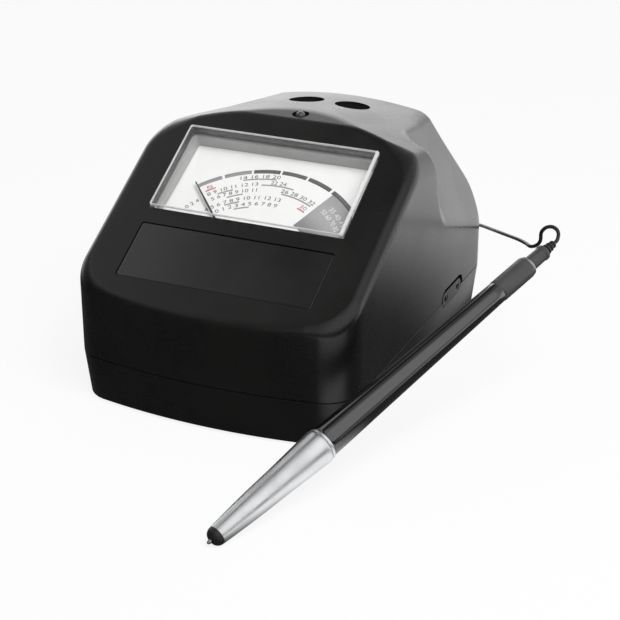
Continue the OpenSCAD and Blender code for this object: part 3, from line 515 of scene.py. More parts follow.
class Effects:
    """Shader node groups that several finishes share, each built once."""

    made: dict[str, bpy.types.NodeTree] = {}

    @classmethod
    def group(cls, name: str, ins: dict[str, tuple[str, object]], outs: Sequence[str]) -> tuple:
        """Starts a group with named sockets.

        Args:
            name: The group's name.
            ins: Kind and default value of each input.
            outs: Names of the outputs, which are values.

        Returns:
            The graph, its input node and its output node.
        """
        tree = bpy.data.node_groups.new(name, "ShaderNodeTree")
        for key, (kind, value) in ins.items():
            socket = tree.interface.new_socket(key, in_out="INPUT", socket_type="NodeSocket" + kind)
            if value is not None:
                socket.default_value = value
        for key in outs:
            tree.interface.new_socket(key, in_out="OUTPUT", socket_type="NodeSocketFloat")
        cls.made[name] = tree
        g = Graph(tree)
        return g, g.add("NodeGroupInput").outputs, g.add("NodeGroupOutput").inputs

    @classmethod
    def grain(cls) -> bpy.types.NodeTree:
        """The fine spark-eroded grain of a moulding, with a slow drift of shade.

        Returns:
            The group. Height is the grain and Shade the drift, both from 0 to 1.
        """
        if "moulded_grain" in cls.made:
            return cls.made["moulded_grain"]
        ins = {"Vector": ("Vector", None), "Fine": ("Float", 2600.0), "Slow": ("Float", 45.0)}
        g, i, o = cls.group("moulded_grain", ins, ("Height", "Shade"))
        fine = g.noise(i["Vector"], i["Fine"], 3.0)
        cells = g.add("ShaderNodeTexVoronoi", {"Vector": i["Vector"], "Scale": i["Fine"]})
        pits = g.times(cells.outputs["Distance"], 0.45)
        g.set(o["Height"], g.math("ADD", g.times(fine, 0.6), pits))
        g.set(o["Shade"], g.ramp(g.noise(i["Vector"], i["Slow"], 4.0), 0.3, 0.7))
        return cls.made["moulded_grain"]

    @classmethod
    def handling(cls) -> bpy.types.NodeTree:
        """Traces of use: dust that settles on what faces up, and fine rubbed streaks.

        Returns:
            The group. Dust and Rub are masks from 0 to 1.
        """
        if "handling" in cls.made:
            return cls.made["handling"]
        ins = {"Vector": ("Vector", None), "Normal": ("Vector", None)}
        g, i, o = cls.group("handling", ins, ("Dust", "Rub"))
        up = g.add("ShaderNodeSeparateXYZ", {0: i["Normal"]}).outputs["Z"]
        specks = g.ramp(g.noise(i["Vector"], 900.0, 6.0, 0.7), 0.45, 0.8)
        drift = g.ramp(g.noise(i["Vector"], 60.0, 3.0), 0.35, 0.75)
        settled = g.times(g.ramp(up, 0.25, 0.95), drift)
        g.set(o["Dust"], g.math("MULTIPLY", settled, specks, True))
        long = {"Vector": i["Vector"], "Scale": (1.0, 9.0, 5.0), "Rotation": (0.2, 0.3, 0.6)}
        streak = g.noise(g.add("ShaderNodeMapping", long).outputs[0], 190.0, 5.0)
        g.set(o["Rub"], g.ramp(streak, 0.52, 0.72))
        return cls.made["handling"]


@dataclass(frozen=True)
class Finish:
    """A surface finish that becomes one material.

    Attributes:
        name: The material's name.
        slot: The record's material slot that the finish belongs to; not used.
        colour: Main colour.
        rough: Roughness.
    """

    name: str
    slot: str
    colour: Colour
    rough: float

    def start(self) -> tuple:
        """Starts the material.

        Returns:
            The material, its graph, its shader and its object coordinates.
        """
        material = bpy.data.materials.new(self.name + "_finish")
        material.use_nodes = True
        material.diffuse_color = rgba(self.colour)
        g = Graph(material.node_tree)
        shader = material.node_tree.nodes["Principled BSDF"]
        return material, g, shader, g.add("ShaderNodeTexCoord").outputs["Object"]

    def material(self) -> bpy.types.Material:
        """The finished material, made when it is first asked for."""
        return bpy.data.materials.get(self.name + "_finish") or self.make()

    def make(self) -> bpy.types.Material:
        """Builds the material."""
        raise NotImplementedError


@dataclass(frozen=True)
class Moulding(Finish):
    """Moulded or painted plastic, rubber or enamel.

    Attributes:
        grain: Depth of the grain, in millimetres.
        fine: Grains in a metre.
        drift: How far the shade drifts, as a share.
        dust: How much dust shows.
        gloss: Strength of the surface reflection, 0.5 for plain plastic.
        coat: Weight of a clear coat.
    """

    grain: float = 0.012
    fine: float = 2600.0
    drift: float = 0.2
    dust: float = 0.3
    gloss: float = 0.5
    coat: float = 0.0

    def make(self) -> bpy.types.Material:
        """Lays grain, drift, dust and rubbing over the main colour.

        Returns:
            The material.
        """
        material, g, shader, where = self.start()
        grain = g.add("ShaderNodeGroup", {"Vector": where, "Fine": self.fine},
                      node_tree=Effects.grain()).outputs
        facing = g.add("ShaderNodeNewGeometry").outputs["Normal"]
        use = g.add("ShaderNodeGroup", {"Vector": where, "Normal": facing},
                    node_tree=Effects.handling()).outputs
        dark, pale = rgba(self.colour, 1 - self.drift), rgba(self.colour, 1 + self.drift)
        shade = g.mix(grain["Shade"], dark, pale)
        dusty = tuple(0.85 * c + 0.06 for c in self.colour)
        dust = g.times(use["Dust"], self.dust)
        g.set(shader.inputs["Base Color"], g.mix(dust, shade, rgba(dusty)))
        rubbed = g.times(use["Rub"], -0.12 * self.rough)
        drift = g.ramp(grain["Shade"], 0.0, 1.0, (0.93 * self.rough, 1.07 * self.rough))
        rough = g.math("ADD", g.math("ADD", drift, rubbed), g.times(dust, 0.2), True)
        g.set(shader.inputs["Roughness"], rough)
        g.bump(shader, 0.5, self.grain, grain["Height"])
        shader.inputs["Specular IOR Level"].default_value = self.gloss
        shader.inputs["Coat Weight"].default_value = self.coat
        shader.inputs["Coat Roughness"].default_value = COAT_ROUGH
        return material


class Lay(Enum):
    """Which way the tool marks of a metal run."""

    ROUND = "round a turned piece"
    CAST = "no way at all"


@dataclass(frozen=True)
class Metal(Finish):
    """Bare or plated metal.

    Attributes:
        lay: Which way its tool marks run.
        axis: The direction that turned marks run round.
        marks: Depth of the marks, in millimetres.
    """

    lay: Lay = Lay.CAST
    axis: Point = UP
    marks: float = 0.002

    def make(self) -> bpy.types.Material:
        """Lays tool marks and small stains over bright metal.

        Returns:
            The material.
        """
        material, g, shader, where = self.start()
        if self.lay is Lay.ROUND:
            dot = {0: where, 1: self.axis}
            run = g.add("ShaderNodeVectorMath", dot, operation="DOT_PRODUCT").outputs["Value"]
            marks = g.noise(g.add("ShaderNodeCombineXYZ", {0: run}).outputs[0], 1500.0, 3.0)
        else:
            marks = g.noise(where, 1800.0, 3.0)
        stain = g.noise(where, 120.0, 5.0)
        tone = g.mix(g.ramp(stain, 0.35, 0.75), rgba(self.colour), rgba(self.colour, 0.88))
        g.set(shader.inputs["Base Color"], tone)
        dull = (0.85 * self.rough, 1.3 * self.rough)
        g.set(shader.inputs["Roughness"], g.ramp(stain, 0.3, 0.8, dull))
        g.bump(shader, 0.4, self.marks, marks)
        shader.inputs["Metallic"].default_value = 1.0
        return material


@dataclass(frozen=True)
class Clear(Finish):
    """Clear moulded plastic, thin enough to let light straight through.

    Attributes:
        body: How much of its own colour shows, from 0 to 1.
        haze: How much more shows where it is rubbed.
    """

    body: float = 0.08
    haze: float = 0.03

    def make(self) -> bpy.types.Material:
        """Lays a faint haze of rubbing over a clear body.

        Returns:
            The material.
        """
        material, g, shader, where = self.start()
        haze = g.noise(where, 220.0, 5.0)
        tone = g.mix(g.ramp(haze, 0.3, 0.7), rgba(self.colour), rgba(self.colour, 0.94))
        g.set(shader.inputs["Base Color"], tone)
        g.set(shader.inputs["Alpha"], g.ramp(haze, 0.4, 0.8, (self.body, self.body + self.haze)))
        g.set(shader.inputs["Roughness"], g.ramp(haze, 0.3, 0.8, (self.rough, self.rough + 0.05)))
        return material


@dataclass(frozen=True)
class Print(Finish):
    """Ink printed on a plate.

    Attributes:
        thin: How far the ink thins out in places, as a share.
    """

    thin: float = 0.25

    def make(self) -> bpy.types.Material:
        """Lays a slightly uneven coat of ink.

        Returns:
            The material.
        """
        material, g, shader, where = self.start()
        spots = g.noise(where, 1600.0, 4.0)
        light = tuple(c + (1 - c) * 0.25 * self.thin for c in self.colour)
        tone = g.mix(g.ramp(spots, 0.45, 0.8), rgba(self.colour), rgba(light))
        g.set(shader.inputs["Base Color"], tone)
        g.set(shader.inputs["Roughness"], g.ramp(spots, 0.3, 0.8, (self.rough, self.rough + 0.15)))
        return material


@dataclass(frozen=True)
class Laminate(Finish):
    """A circuit board: copper runs under a lacquer.

    Attributes:
        lacquer: Colour over the copper runs.
    """

    lacquer: Colour = (0.05, 0.24, 0.11)

    def make(self) -> bpy.types.Material:
        """Draws square runs of copper under the lacquer.

        Returns:
            The material.
        """
        material, g, shader, where = self.start()
        cells = {"Vector": where, "Scale": 320.0}
        runs = g.add("ShaderNodeTexVoronoi", cells, distance="MANHATTAN", feature="F2")
        line = g.ramp(g.math("PINGPONG", runs.outputs["Distance"], 0.22), 0.05, 0.09)
        g.set(shader.inputs["Base Color"], g.mix(line, rgba(self.lacquer), rgba(self.colour)))
        g.set(shader.inputs["Roughness"], g.ramp(line, 0.0, 1.0, (self.rough * 0.8, self.rough)))
        g.bump(shader, 0.5, 0.03, line)
        return material


BODY_PLASTIC = Moulding("body_plastic", "body_plastic", (0.0055, 0.0053, 0.005), 0.3, grain=0.006,
                        dust=0.02)
LABEL_FILM = Moulding("label_film", "label", (0.0065, 0.0065, 0.0063), 0.2, grain=0.004,
                      fine=5200.0, dust=0.05, gloss=0.9)
FOOT_RUBBER = Moulding("foot_rubber", "foot_rubber", (0.022, 0.022, 0.022), 0.75, grain=0.03,
                       gloss=0.3)
BUTTON_PLASTIC = Moulding("button_plastic", "button_plastic", (0.0085, 0.0085, 0.0085), 0.8,
                          grain=0.008, dust=0.02, gloss=0.0)
SOCKET_PLASTIC = Moulding("socket_plastic", "socket_plastic", (0.011, 0.011, 0.011), 0.4,
                          grain=0.006, dust=0.05)
STEM_PLASTIC = Moulding("stem_plastic", "stem_plastic", (0.72, 0.71, 0.66), 0.45)
CHIP_PLASTIC = Moulding("chip_plastic", "chip_plastic", (0.02, 0.02, 0.022), 0.55, grain=0.02)
CELL_JACKET = Moulding("cell_jacket", "cell_jacket", (0.06, 0.07, 0.09), 0.3, grain=0.002)
METER_PLASTIC = Moulding("meter_plastic", "meter_plastic", (0.4, 0.4, 0.395), 0.6, grain=0.008,
                         dust=0.0, drift=0.05)
DIAL_ENAMEL = Moulding("dial_enamel", "dial_enamel", (0.9, 0.9, 0.89), 0.5, grain=0.003, dust=0.0,
                       drift=0.015)
NEEDLE_PAINT = Moulding("needle_paint", "needle_paint", (0.015, 0.015, 0.016), 0.4, grain=0.002,
                        dust=0.0)
BARREL_PLASTIC = Moulding("barrel_plastic", "barrel_plastic", (0.004, 0.004, 0.004), 0.13,
                          grain=0.002, dust=0.04, gloss=1.0, coat=1.0)
COLLAR_RUBBER = Moulding("collar_rubber", "collar_rubber", (0.05, 0.05, 0.05), 0.42, grain=0.01,
                         dust=0.1)
NOSE_CERAMIC = Moulding("nose_ceramic", "collar_rubber", (0.011, 0.011, 0.011), 0.4, grain=0.006,
                        dust=0.05)
LEAD_RUBBER = Moulding("lead_rubber", "lead_rubber", (0.012, 0.012, 0.012), 0.42, grain=0.01,
                       dust=0.1)
TIE_PLASTIC = Moulding("tie_plastic", "lead_rubber", (0.016, 0.016, 0.016), 0.5, grain=0.02,
                       dust=0.1)
LAMP_LENS = Moulding("lamp_lens", "lamp_lens", (0.05, 0.053, 0.05), 0.16, grain=0.003, dust=0.05,
                     coat=0.4)
SPRING_STEEL = Metal("spring_steel", "spring_steel", (0.7, 0.7, 0.69), 0.3)
SCREW_STEEL = Metal("screw_steel", "screw_steel", (0.5, 0.5, 0.5), 0.34)
CONTACT_BRASS = Metal("contact_brass", "contact_brass", (0.78, 0.6, 0.3), 0.28)
SOCKET_NICKEL = Metal("socket_nickel", "contact_brass", (0.3, 0.29, 0.28), 0.4)
MAGNET_IRON = Metal("magnet_iron", "magnet_iron", (0.34, 0.34, 0.35), 0.45, marks=0.006)
COIL_COPPER = Metal("coil_copper", "coil_copper", (0.74, 0.4, 0.22), 0.35, marks=0.02)
PROBE_METAL = Metal("probe_metal", "probe_metal", (0.42, 0.41, 0.39), 0.3, Lay.ROUND, WAND_AXIS)
WAND_CHROME = Metal("wand_chrome", "wand_chrome", (0.86, 0.87, 0.88), 0.34, Lay.ROUND, WAND_AXIS,
                    0.0012)
CIRCUIT_BOARD = Laminate("circuit_board", "circuit_board", (0.03, 0.15, 0.07), 0.4)
WINDOW_CLEAR = Clear("window_clear", "window_clear", (0.95, 0.96, 0.96), 0.03, body=0.02,
                     haze=0.015)
# Painted highlight: a half-opaque white that stands for the glint along the window's polished
# edges.
PAINTED_WINDOW_GLINT = Clear("window_glint_edge", "window_clear", (0.95, 0.96, 0.96), 0.08, body=0.5, haze=0.15)
INK_DARK = Print("ink_dark", "dial_enamel", (0.1, 0.1, 0.105), 0.5)
INK_GREY = Print("ink_grey", "dial_enamel", (0.3, 0.3, 0.3), 0.5)
INK_PALE = Print("ink_pale", "dial_enamel", (0.37, 0.37, 0.37), 0.5)
INK_RED = Print("ink_red", "dial_enamel", (0.55, 0.2, 0.24), 0.5)
INK_WHITE = Print("ink_white", "dial_enamel", (0.85, 0.85, 0.85), 0.5)


# ---------------------------------------------------------------------------------------------
# Pieces


def place(obj: bpy.types.Object, finish: Finish, body: str,
          stands_for: Sequence[str] = ()) -> bpy.types.Object:
    """Gives a piece its finish and hangs it on a body of the frame.

    Args:
        obj: The piece.
        finish: Its finish.
        body: The body that it moves with, none for a piece that hangs on no body.
        stands_for: The frame's nodes that it takes the place of.

    Returns:
        The piece.
    """
    obj.data.materials.clear()
    obj.data.materials.append(finish.material())
    if body:
        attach(obj, body)
    if stands_for:
        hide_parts(*stands_for)
    LOG.info("%s: %d faces, %s", obj.name, len(obj.data.polygons), finish.name)
    return obj


def smooth(mesh: bpy.types.Mesh, sharp: float) -> None:
    """Shades a mesh smooth, apart from the edges past an angle in degrees."""
    mesh.polygons.foreach_set("use_smooth", np.ones(len(mesh.polygons), bool))
    mesh.set_sharp_from_angle(angle=math.radians(sharp))


def solid(name: str, shape: Shape) -> bpy.types.Object:
    """Makes a mesh object from points and faces.

    Points that coincide are merged, which closes seams and poles, and the faces are turned
    outwards.

    Args:
        name: The piece's name.
        shape: Its points and faces.

    Returns:
        The object, at the origin.
    """
    mesh = bpy.data.meshes.new(name)
    mesh.from_pydata(shape[0].tolist(), [], shape[1])
    work = bmesh.new()
    work.from_mesh(mesh)
    bmesh.ops.remove_doubles(work, verts=work.verts, dist=MERGE)
    bmesh.ops.recalc_face_normals(work, faces=work.faces)
    work.to_mesh(mesh)
    work.free()
    smooth(mesh, MADE_EDGE)
    return linked(name, mesh)


def fitted(name: str, shape: Shape, finish: Finish, node: str,
           body: str = "body") -> bpy.types.Object:
    """Makes a piece that takes the place of a node and moves with a body."""
    return place(solid(name, shape), finish, body, (node,))


def printed(name: str, shapes: Iterable[Shape], ink: Finish, thick: float = 0.03) -> None:
    """Prints flat shapes on the body, raised by a thickness of ink in millimetres.

    Args:
        name: The print's name.
        shapes: Its shapes.
        ink: Its finish.
        thick: Its thickness.
    """
    obj = solid(name, joined(shapes))
    skin = obj.modifiers.new("ink", "SOLIDIFY")
    skin.thickness, skin.offset = thick * MM, 0.0
    place(obj, ink, "body")


def copied(name: str, node: str) -> bpy.types.Object:
    """Copies a node of the frame, with its loose triangles merged and its flat faces joined.

    Args:
        name: The new piece's name.
        node: The frame's node.

    Returns:
        The object.
    """
    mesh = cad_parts[node].data.copy()
    mesh.name = name
    work = bmesh.new()
    work.from_mesh(mesh)
    bmesh.ops.remove_doubles(work, verts=work.verts, dist=0.04 * MM)
    bmesh.ops.dissolve_degenerate(work, edges=work.edges, dist=0.005 * MM)
    bmesh.ops.dissolve_limit(work, angle_limit=math.radians(0.3), verts=work.verts,
                             edges=work.edges)
    work.to_mesh(mesh)
    work.free()
    smooth(mesh, COPIED_EDGE)
    return linked(name, mesh)


def softened(name: str, node: str, width: float, finish: Finish, body: str = "body") -> None:
    """Puts a copy of a node with rounded edges in its place.

    Args:
        name: The new piece's name.
        node: The frame's node.
        width: Width of the rounds, in millimetres.
        finish: The piece's finish.
        body: The body that it moves with.
    """
    obj = copied(name, node)
    edge = obj.modifiers.new("edge", "BEVEL")
    edge.width, edge.segments = width * MM, 2
    edge.limit_method, edge.angle_limit = "ANGLE", math.radians(ROUNDED_EDGE)
    edge.use_clamp_overlap, edge.harden_normals = False, True
    place(obj, finish, body, (node,))


def carved(obj: bpy.types.Object, tool: Shape, how: str = "DIFFERENCE") -> bpy.types.Object:
    """Cuts a closed shape out of a piece, or keeps only what lies inside it.

    Args:
        obj: The piece.
        tool: The closed shape.
        how: DIFFERENCE takes the shape away, INTERSECT keeps what is common.

    Returns:
        The piece, with its new mesh.
    """
    cutter = solid("cutter", tool)
    step = obj.modifiers.new("cut", "BOOLEAN")
    step.operation, step.solver, step.object = how, "EXACT", cutter
    mesh = evaluated(obj)
    obj.modifiers.clear()
    spare = obj.data, cutter.data
    obj.data = mesh
    bpy.data.objects.remove(cutter)
    for old in spare:
        bpy.data.meshes.remove(old)
    mesh.name = obj.name
    smooth(mesh, CUT_EDGE)
    return obj


def rounded_max(a: np.ndarray, b: np.ndarray, r: object) -> np.ndarray:
    """The larger of two depths, with the edge between their surfaces rounded.

    Where both depths come within the radius, the result is the length of the two depths
    measured from one radius inside, less the radius.

    Args:
        a: Depth outside the first surface, below 0 inside.
        b: Depth outside the second.
        r: Radius of the round, one value or one for each point.

    Returns:
        The depth outside both.
    """
    return np.minimum(np.maximum(a, b), -r) + np.hypot(np.maximum(a + r, 0), np.maximum(b + r, 0))


def incline(y: np.ndarray, z: np.ndarray, at: Pair, degrees: float) -> np.ndarray:
    """The height over a plane that passes through a point and climbs to the rear at an angle."""
    t = math.radians(degrees)
    return (z - at[1]) * math.cos(t) - (y - at[0]) * math.sin(t)


@dataclass(frozen=True)
class CaseForm:
    """The outer form of the case, as a depth that is 0 on its surface and below 0 inside.

    Attributes:
        half: Half the width.
        rear: Distance of the rear wall behind the middle.
        bow: Radius of the bowed front, and the distance of its centre behind the middle.
        corner: Radius of the upright corners.
        part: Height of the line between the housing and the pan.
        face: Place and tilt of the face.
        top: Place and fall of the top.
        crown: Radius of the top's crown.
        back: Place and tilt of the slope at the rear.
        crest: Place and tilt of the shallow cut at the crest.
        scoop: A scoop's front end, the height of its shelf, its lean, its fall and its radius.
        rounds: Rounds of the shoulders, the rear edge and the crest.
        brow: Rounds of the face's edge at the top, at the front and at the sides.
        brow_side: Distance from the middle where the face's edge starts to widen, and over what.
        brow_front: Place where it starts to widen towards the front, and over what.
        lip: Rounds of a scoop's edge at its foot and at its head.
        lip_head: How far behind the scoop's end the head starts and over what, then in height.
        lap: Height of the housing's first ring over the parting line.
        draw: How far the housing's rim is drawn in there.
        hub: The point that the surface is seen from.
    """

    half: float = 46.8
    rear: float = 66.0
    bow: Pair = (200.0, 134.0)
    corner: float = 12.0
    part: float = 16.0
    face: tuple[float, float, float] = (-66.0, 37.7, 30.0)
    top: tuple[float, float, float] = (7.006, 79.85, -8.0)
    crown: float = 130.0
    back: tuple[float, float, float] = (66.0, 40.0, 67.0)
    crest: tuple[float, float, float] = (7.006, 78.55, 4.0)
    scoop: tuple[float, float, float, float, float] = (10.0, 28.3, 27.0, 9.2, 14.0)
    rounds: tuple[float, float, float] = (6.0, 2.5, 0.4)
    brow: tuple[float, float, float] = (0.9, 1.9, 3.6)
    brow_side: Pair = (33.0, 9.0)
    brow_front: Pair = (-30.0, 20.0)
    lip: Pair = (0.8, 2.6)
    lip_head: tuple[float, float, float, float] = (8.0, 20.0, 45.0, 15.0)
    lap: float = 0.4
    draw: float = 0.06
    hub: Point = (0.0, -14.0, 16.0)

    def plan(self, x: np.ndarray, y: np.ndarray) -> np.ndarray:
        """Depth in the plan.

        The side walls, the flat rear and the bowed front are joined by an arc at each corner,
        whose circle touches the two walls that meet there.

        Args:
            x: Distances across.
            y: Distances to the rear.

        Returns:
            The depth, below 0 inside.
        """
        u, mid, r = np.abs(x), self.half - self.corner, self.corner
        ends = np.where(y > 0, y - self.rear, np.hypot(x, y - self.bow[1]) - self.bow[0])
        plain = np.maximum(u - self.half, ends)
        reach = self.bow[0] - r
        fore = math.sqrt(reach**2 - mid**2)
        a, b, c = u - mid, y - self.bow[1] + fore, y - self.rear + r
        near = (b < 0) & (mid * b + fore * a > 0)
        rest = np.where((a > 0) & (c > 0), np.hypot(a, c) - r, plain)
        return np.where(near, np.hypot(a, b) - r, rest)

    def scooped(self, x: np.ndarray, y: np.ndarray, z: np.ndarray) -> np.ndarray:
        """Depth outside a scoop.

        Across the flank, at the scoop's lean, a scoop is the corner between an upright front
        end and a floor that falls to the rear, filled by a circle that touches both.

        Args:
            x: Distances across.
            y: Distances to the rear.
            z: Heights.

        Returns:
            The depth, below 0 where the scoop takes the material away.
        """
        front, shelf, lean, fall, r = self.scoop
        a, f = math.radians(lean), math.radians(fall)
        w = np.abs(x) * math.cos(a) + z * math.sin(a)
        low = self.half * math.cos(a) + shelf * math.sin(a)
        floor = low + (self.rear - y) * math.tan(f)
        my = front + r
        mw = low + (self.rear - my) * math.tan(f) + r / math.cos(f)
        bend = (w < mw) & ((y - my) * math.cos(f) - (w - mw) * math.sin(f) < 0)
        corner = np.maximum(front - y, (floor - w) * math.cos(f))
        return np.where(bend, np.hypot(y - my, w - mw) - r, corner)

    def depth(self, p: np.ndarray) -> np.ndarray:
        """Depth of points outside the whole form, joined surface by surface with rounds.

        The plan, the crown, the rear slope, what lies outside the scoops, the face and the crest
        are taken in that order, each as the larger depth with a rounded edge.

        Args:
            p: The points, in millimetres.

        Returns:
            The depth, below 0 inside.
        """
        x, y, z = p[..., 0], p[..., 1], p[..., 2]
        shoulder, rear, crest = self.rounds
        crown = np.hypot(x, incline(y, z, self.top[:2], self.top[2]) + self.crown) - self.crown
        t = math.radians(self.back[2])
        slope_back = (y - self.back[0]) * math.sin(t) + (z - self.back[1]) * math.cos(t)
        behind, long, over, tall = self.lip_head
        head = np.clip((y - self.scoop[0] - behind) / long, 0, 1) * np.clip((z - over) / tall, 0, 1)
        lip = self.lip[0] + (self.lip[1] - self.lip[0]) * head
        side = np.clip((np.abs(x) - self.brow_side[0]) / self.brow_side[1], 0, 1)
        front = np.clip((self.brow_front[0] - y) / self.brow_front[1], 0, 1)
        brow = self.brow[0] + (self.brow[1] - self.brow[0]) * front * (1 - side)
        brow = brow + (self.brow[2] - self.brow[0]) * side
        d = rounded_max(rounded_max(self.plan(x, y), crown, shoulder), slope_back, rear)
        d = rounded_max(d, -self.scooped(x, y, z), lip)
        d = rounded_max(d, incline(y, z, self.face[:2], self.face[2]), brow)
        return rounded_max(d, incline(y, z, self.crest[:2], self.crest[2]), crest)

    def normals(self, p: np.ndarray, step: float = 0.02) -> np.ndarray:
        """Unit directions in which the depth grows fastest, from differences to each side.

        Args:
            p: The points, in millimetres.
            step: How far to each side the depth is taken.

        Returns:
            The directions.
        """
        axes = np.eye(3) * step
        n = np.stack([self.depth(p + a) - self.depth(p - a) for a in axes], -1)
        return n / np.linalg.norm(n, axis=-1, keepdims=True)

    def seen(self, aims: np.ndarray, level: float = 0.0, flat: bool = False) -> np.ndarray:
        """Points where lines from the hub reach a depth.

        Each line is halved again and again between a point inside and one outside.

        Args:
            aims: Points that the lines pass through.
            level: The depth, below 0 inside the surface.
            flat: Whether only the plan counts.

        Returns:
            The points, in millimetres.
        """
        hub = np.array(self.hub)
        way = aims - hub
        low, high = np.zeros(aims.shape[:-1]), np.full(aims.shape[:-1], 1.5)
        for _ in range(34):
            mid = (low + high) / 2
            p = hub + way * mid[..., None]
            inside = (self.plan(p[..., 0], p[..., 1]) if flat else self.depth(p)) < level
            low, high = np.where(inside, mid, low), np.where(inside, high, mid)
        return hub + way * low[..., None]

    def steps(self, nx: int, ny: int) -> tuple[np.ndarray, np.ndarray]:
        """Even steps across the box that holds the case, and from its front to its rear."""
        return tuple(np.linspace(-v, v, n + 1) for v, n in ((self.half, nx), (self.rear, ny)))

    def ring(self, nx: int, ny: int, z: float) -> np.ndarray:
        """Points round the box that holds the case, at a height.

        Args:
            nx: Steps across.
            ny: Steps from front to rear.
            z: The height.

        Returns:
            The points, in millimetres, going round anticlockwise.
        """
        x, y = self.steps(nx, ny)
        a, b = np.full(nx, self.rear), np.full(ny, self.half)
        sides = ((x[:-1], -a), (b, y[:-1]), (x[:0:-1], a), (-b, y[:0:-1]))
        xy = np.concatenate([np.stack(side, -1) for side in sides])
        return np.concatenate([xy, np.full((len(xy), 1), z)], -1)

    def skin(self, counts: tuple[int, int, int], level: float,
             rim: float) -> tuple[np.ndarray, list, int]:
        """One side of the housing's wall.

        The points of a grid round the sides and over the top of a box are drawn in along lines
        to the hub until they reach the depth, and a last ring lies on the parting line.

        Args:
            counts: Steps along the three sides of the box.
            level: Depth of the skin.
            rim: Depth of the last ring.

        Returns:
            The points, the faces and the number of points in the last ring, which come first.
        """
        nx, ny, nz = counts
        low, high = self.part + self.lap, self.top[1]
        side = np.stack([self.ring(nx, ny, z) for z in np.linspace(low, high, nz + 1)])
        edge = self.seen(self.ring(nx, ny, self.part), rim, True)
        x, y = self.steps(nx, ny)
        lid = np.stack([*np.meshgrid(x, y, indexing="ij"), np.full((nx + 1, ny + 1), high)], -1)
        wall = np.concatenate([edge[None], self.seen(side, level)])
        cap = self.seen(lid, level).reshape(-1, 3)
        rows, cols = wall.shape[:2]
        faces = grid_faces(rows, cols, False, True)
        faces += [[n + rows * cols for n in f] for f in grid_faces(nx + 1, ny + 1, False, False)]
        return np.concatenate([wall.reshape(-1, 3), cap]), faces, cols

    def shell(self, counts: tuple[int, int, int], wall: float, share: int = 4) -> Shape:
        """The housing's wall, with a finer skin outside than inside.

        Args:
            counts: Steps of the inner skin along the three sides of the box.
            wall: Thickness.
            share: Steps of the outer skin for each of the inner.

        Returns:
            The points and the faces, in metres.
        """
        fine = tuple(n * share for n in counts)
        outer, outer_faces, many = self.skin(fine, 0.0, -self.draw)
        inner, inner_faces, few = self.skin(counts, -wall, -wall)
        k = np.arange(few)
        steps = [(share * k + i) % many for i in range(share, -1, -1)]
        rim = np.stack([len(outer) + k, len(outer) + (k + 1) % few, *steps], -1).tolist()
        faces = outer_faces + [[n + len(outer) for n in f] for f in inner_faces] + rim
        return np.concatenate([outer, inner]) * MM, faces

    def polish(self, obj: bpy.types.Object, near: float = 0.03, alike: float = 0.8) -> None:
        """Gives each corner of a face that lies on the form the form's own direction.

        Args:
            obj: The piece.
            near: Depth within which a point lies on the form.
            alike: Cosine of the most that the face may lean from the form there.
        """
        mesh = obj.data
        p = points_of(mesh) / MM
        at = np.zeros(len(mesh.loops), int)
        mesh.loops.foreach_get("vertex_index", at)
        flat, total = np.zeros(len(mesh.polygons) * 3), np.zeros(len(mesh.polygons), int)
        mesh.polygons.foreach_get("normal", flat)
        mesh.polygons.foreach_get("loop_total", total)
        own = np.repeat(flat.reshape(-1, 3), total, 0)
        n, on = self.normals(p), np.abs(self.depth(p)) < near
        use = on[at] & ((n[at] * own).sum(-1) > alike)
        mesh.normals_split_custom_set(np.where(use[:, None], n[at], own).tolist())


CASE = CaseForm()
FACE = slope((0.0, *CASE.face[:2]), CASE.face[2])
TOP = slope((0.0, *CASE.top[:2]), CASE.top[2])


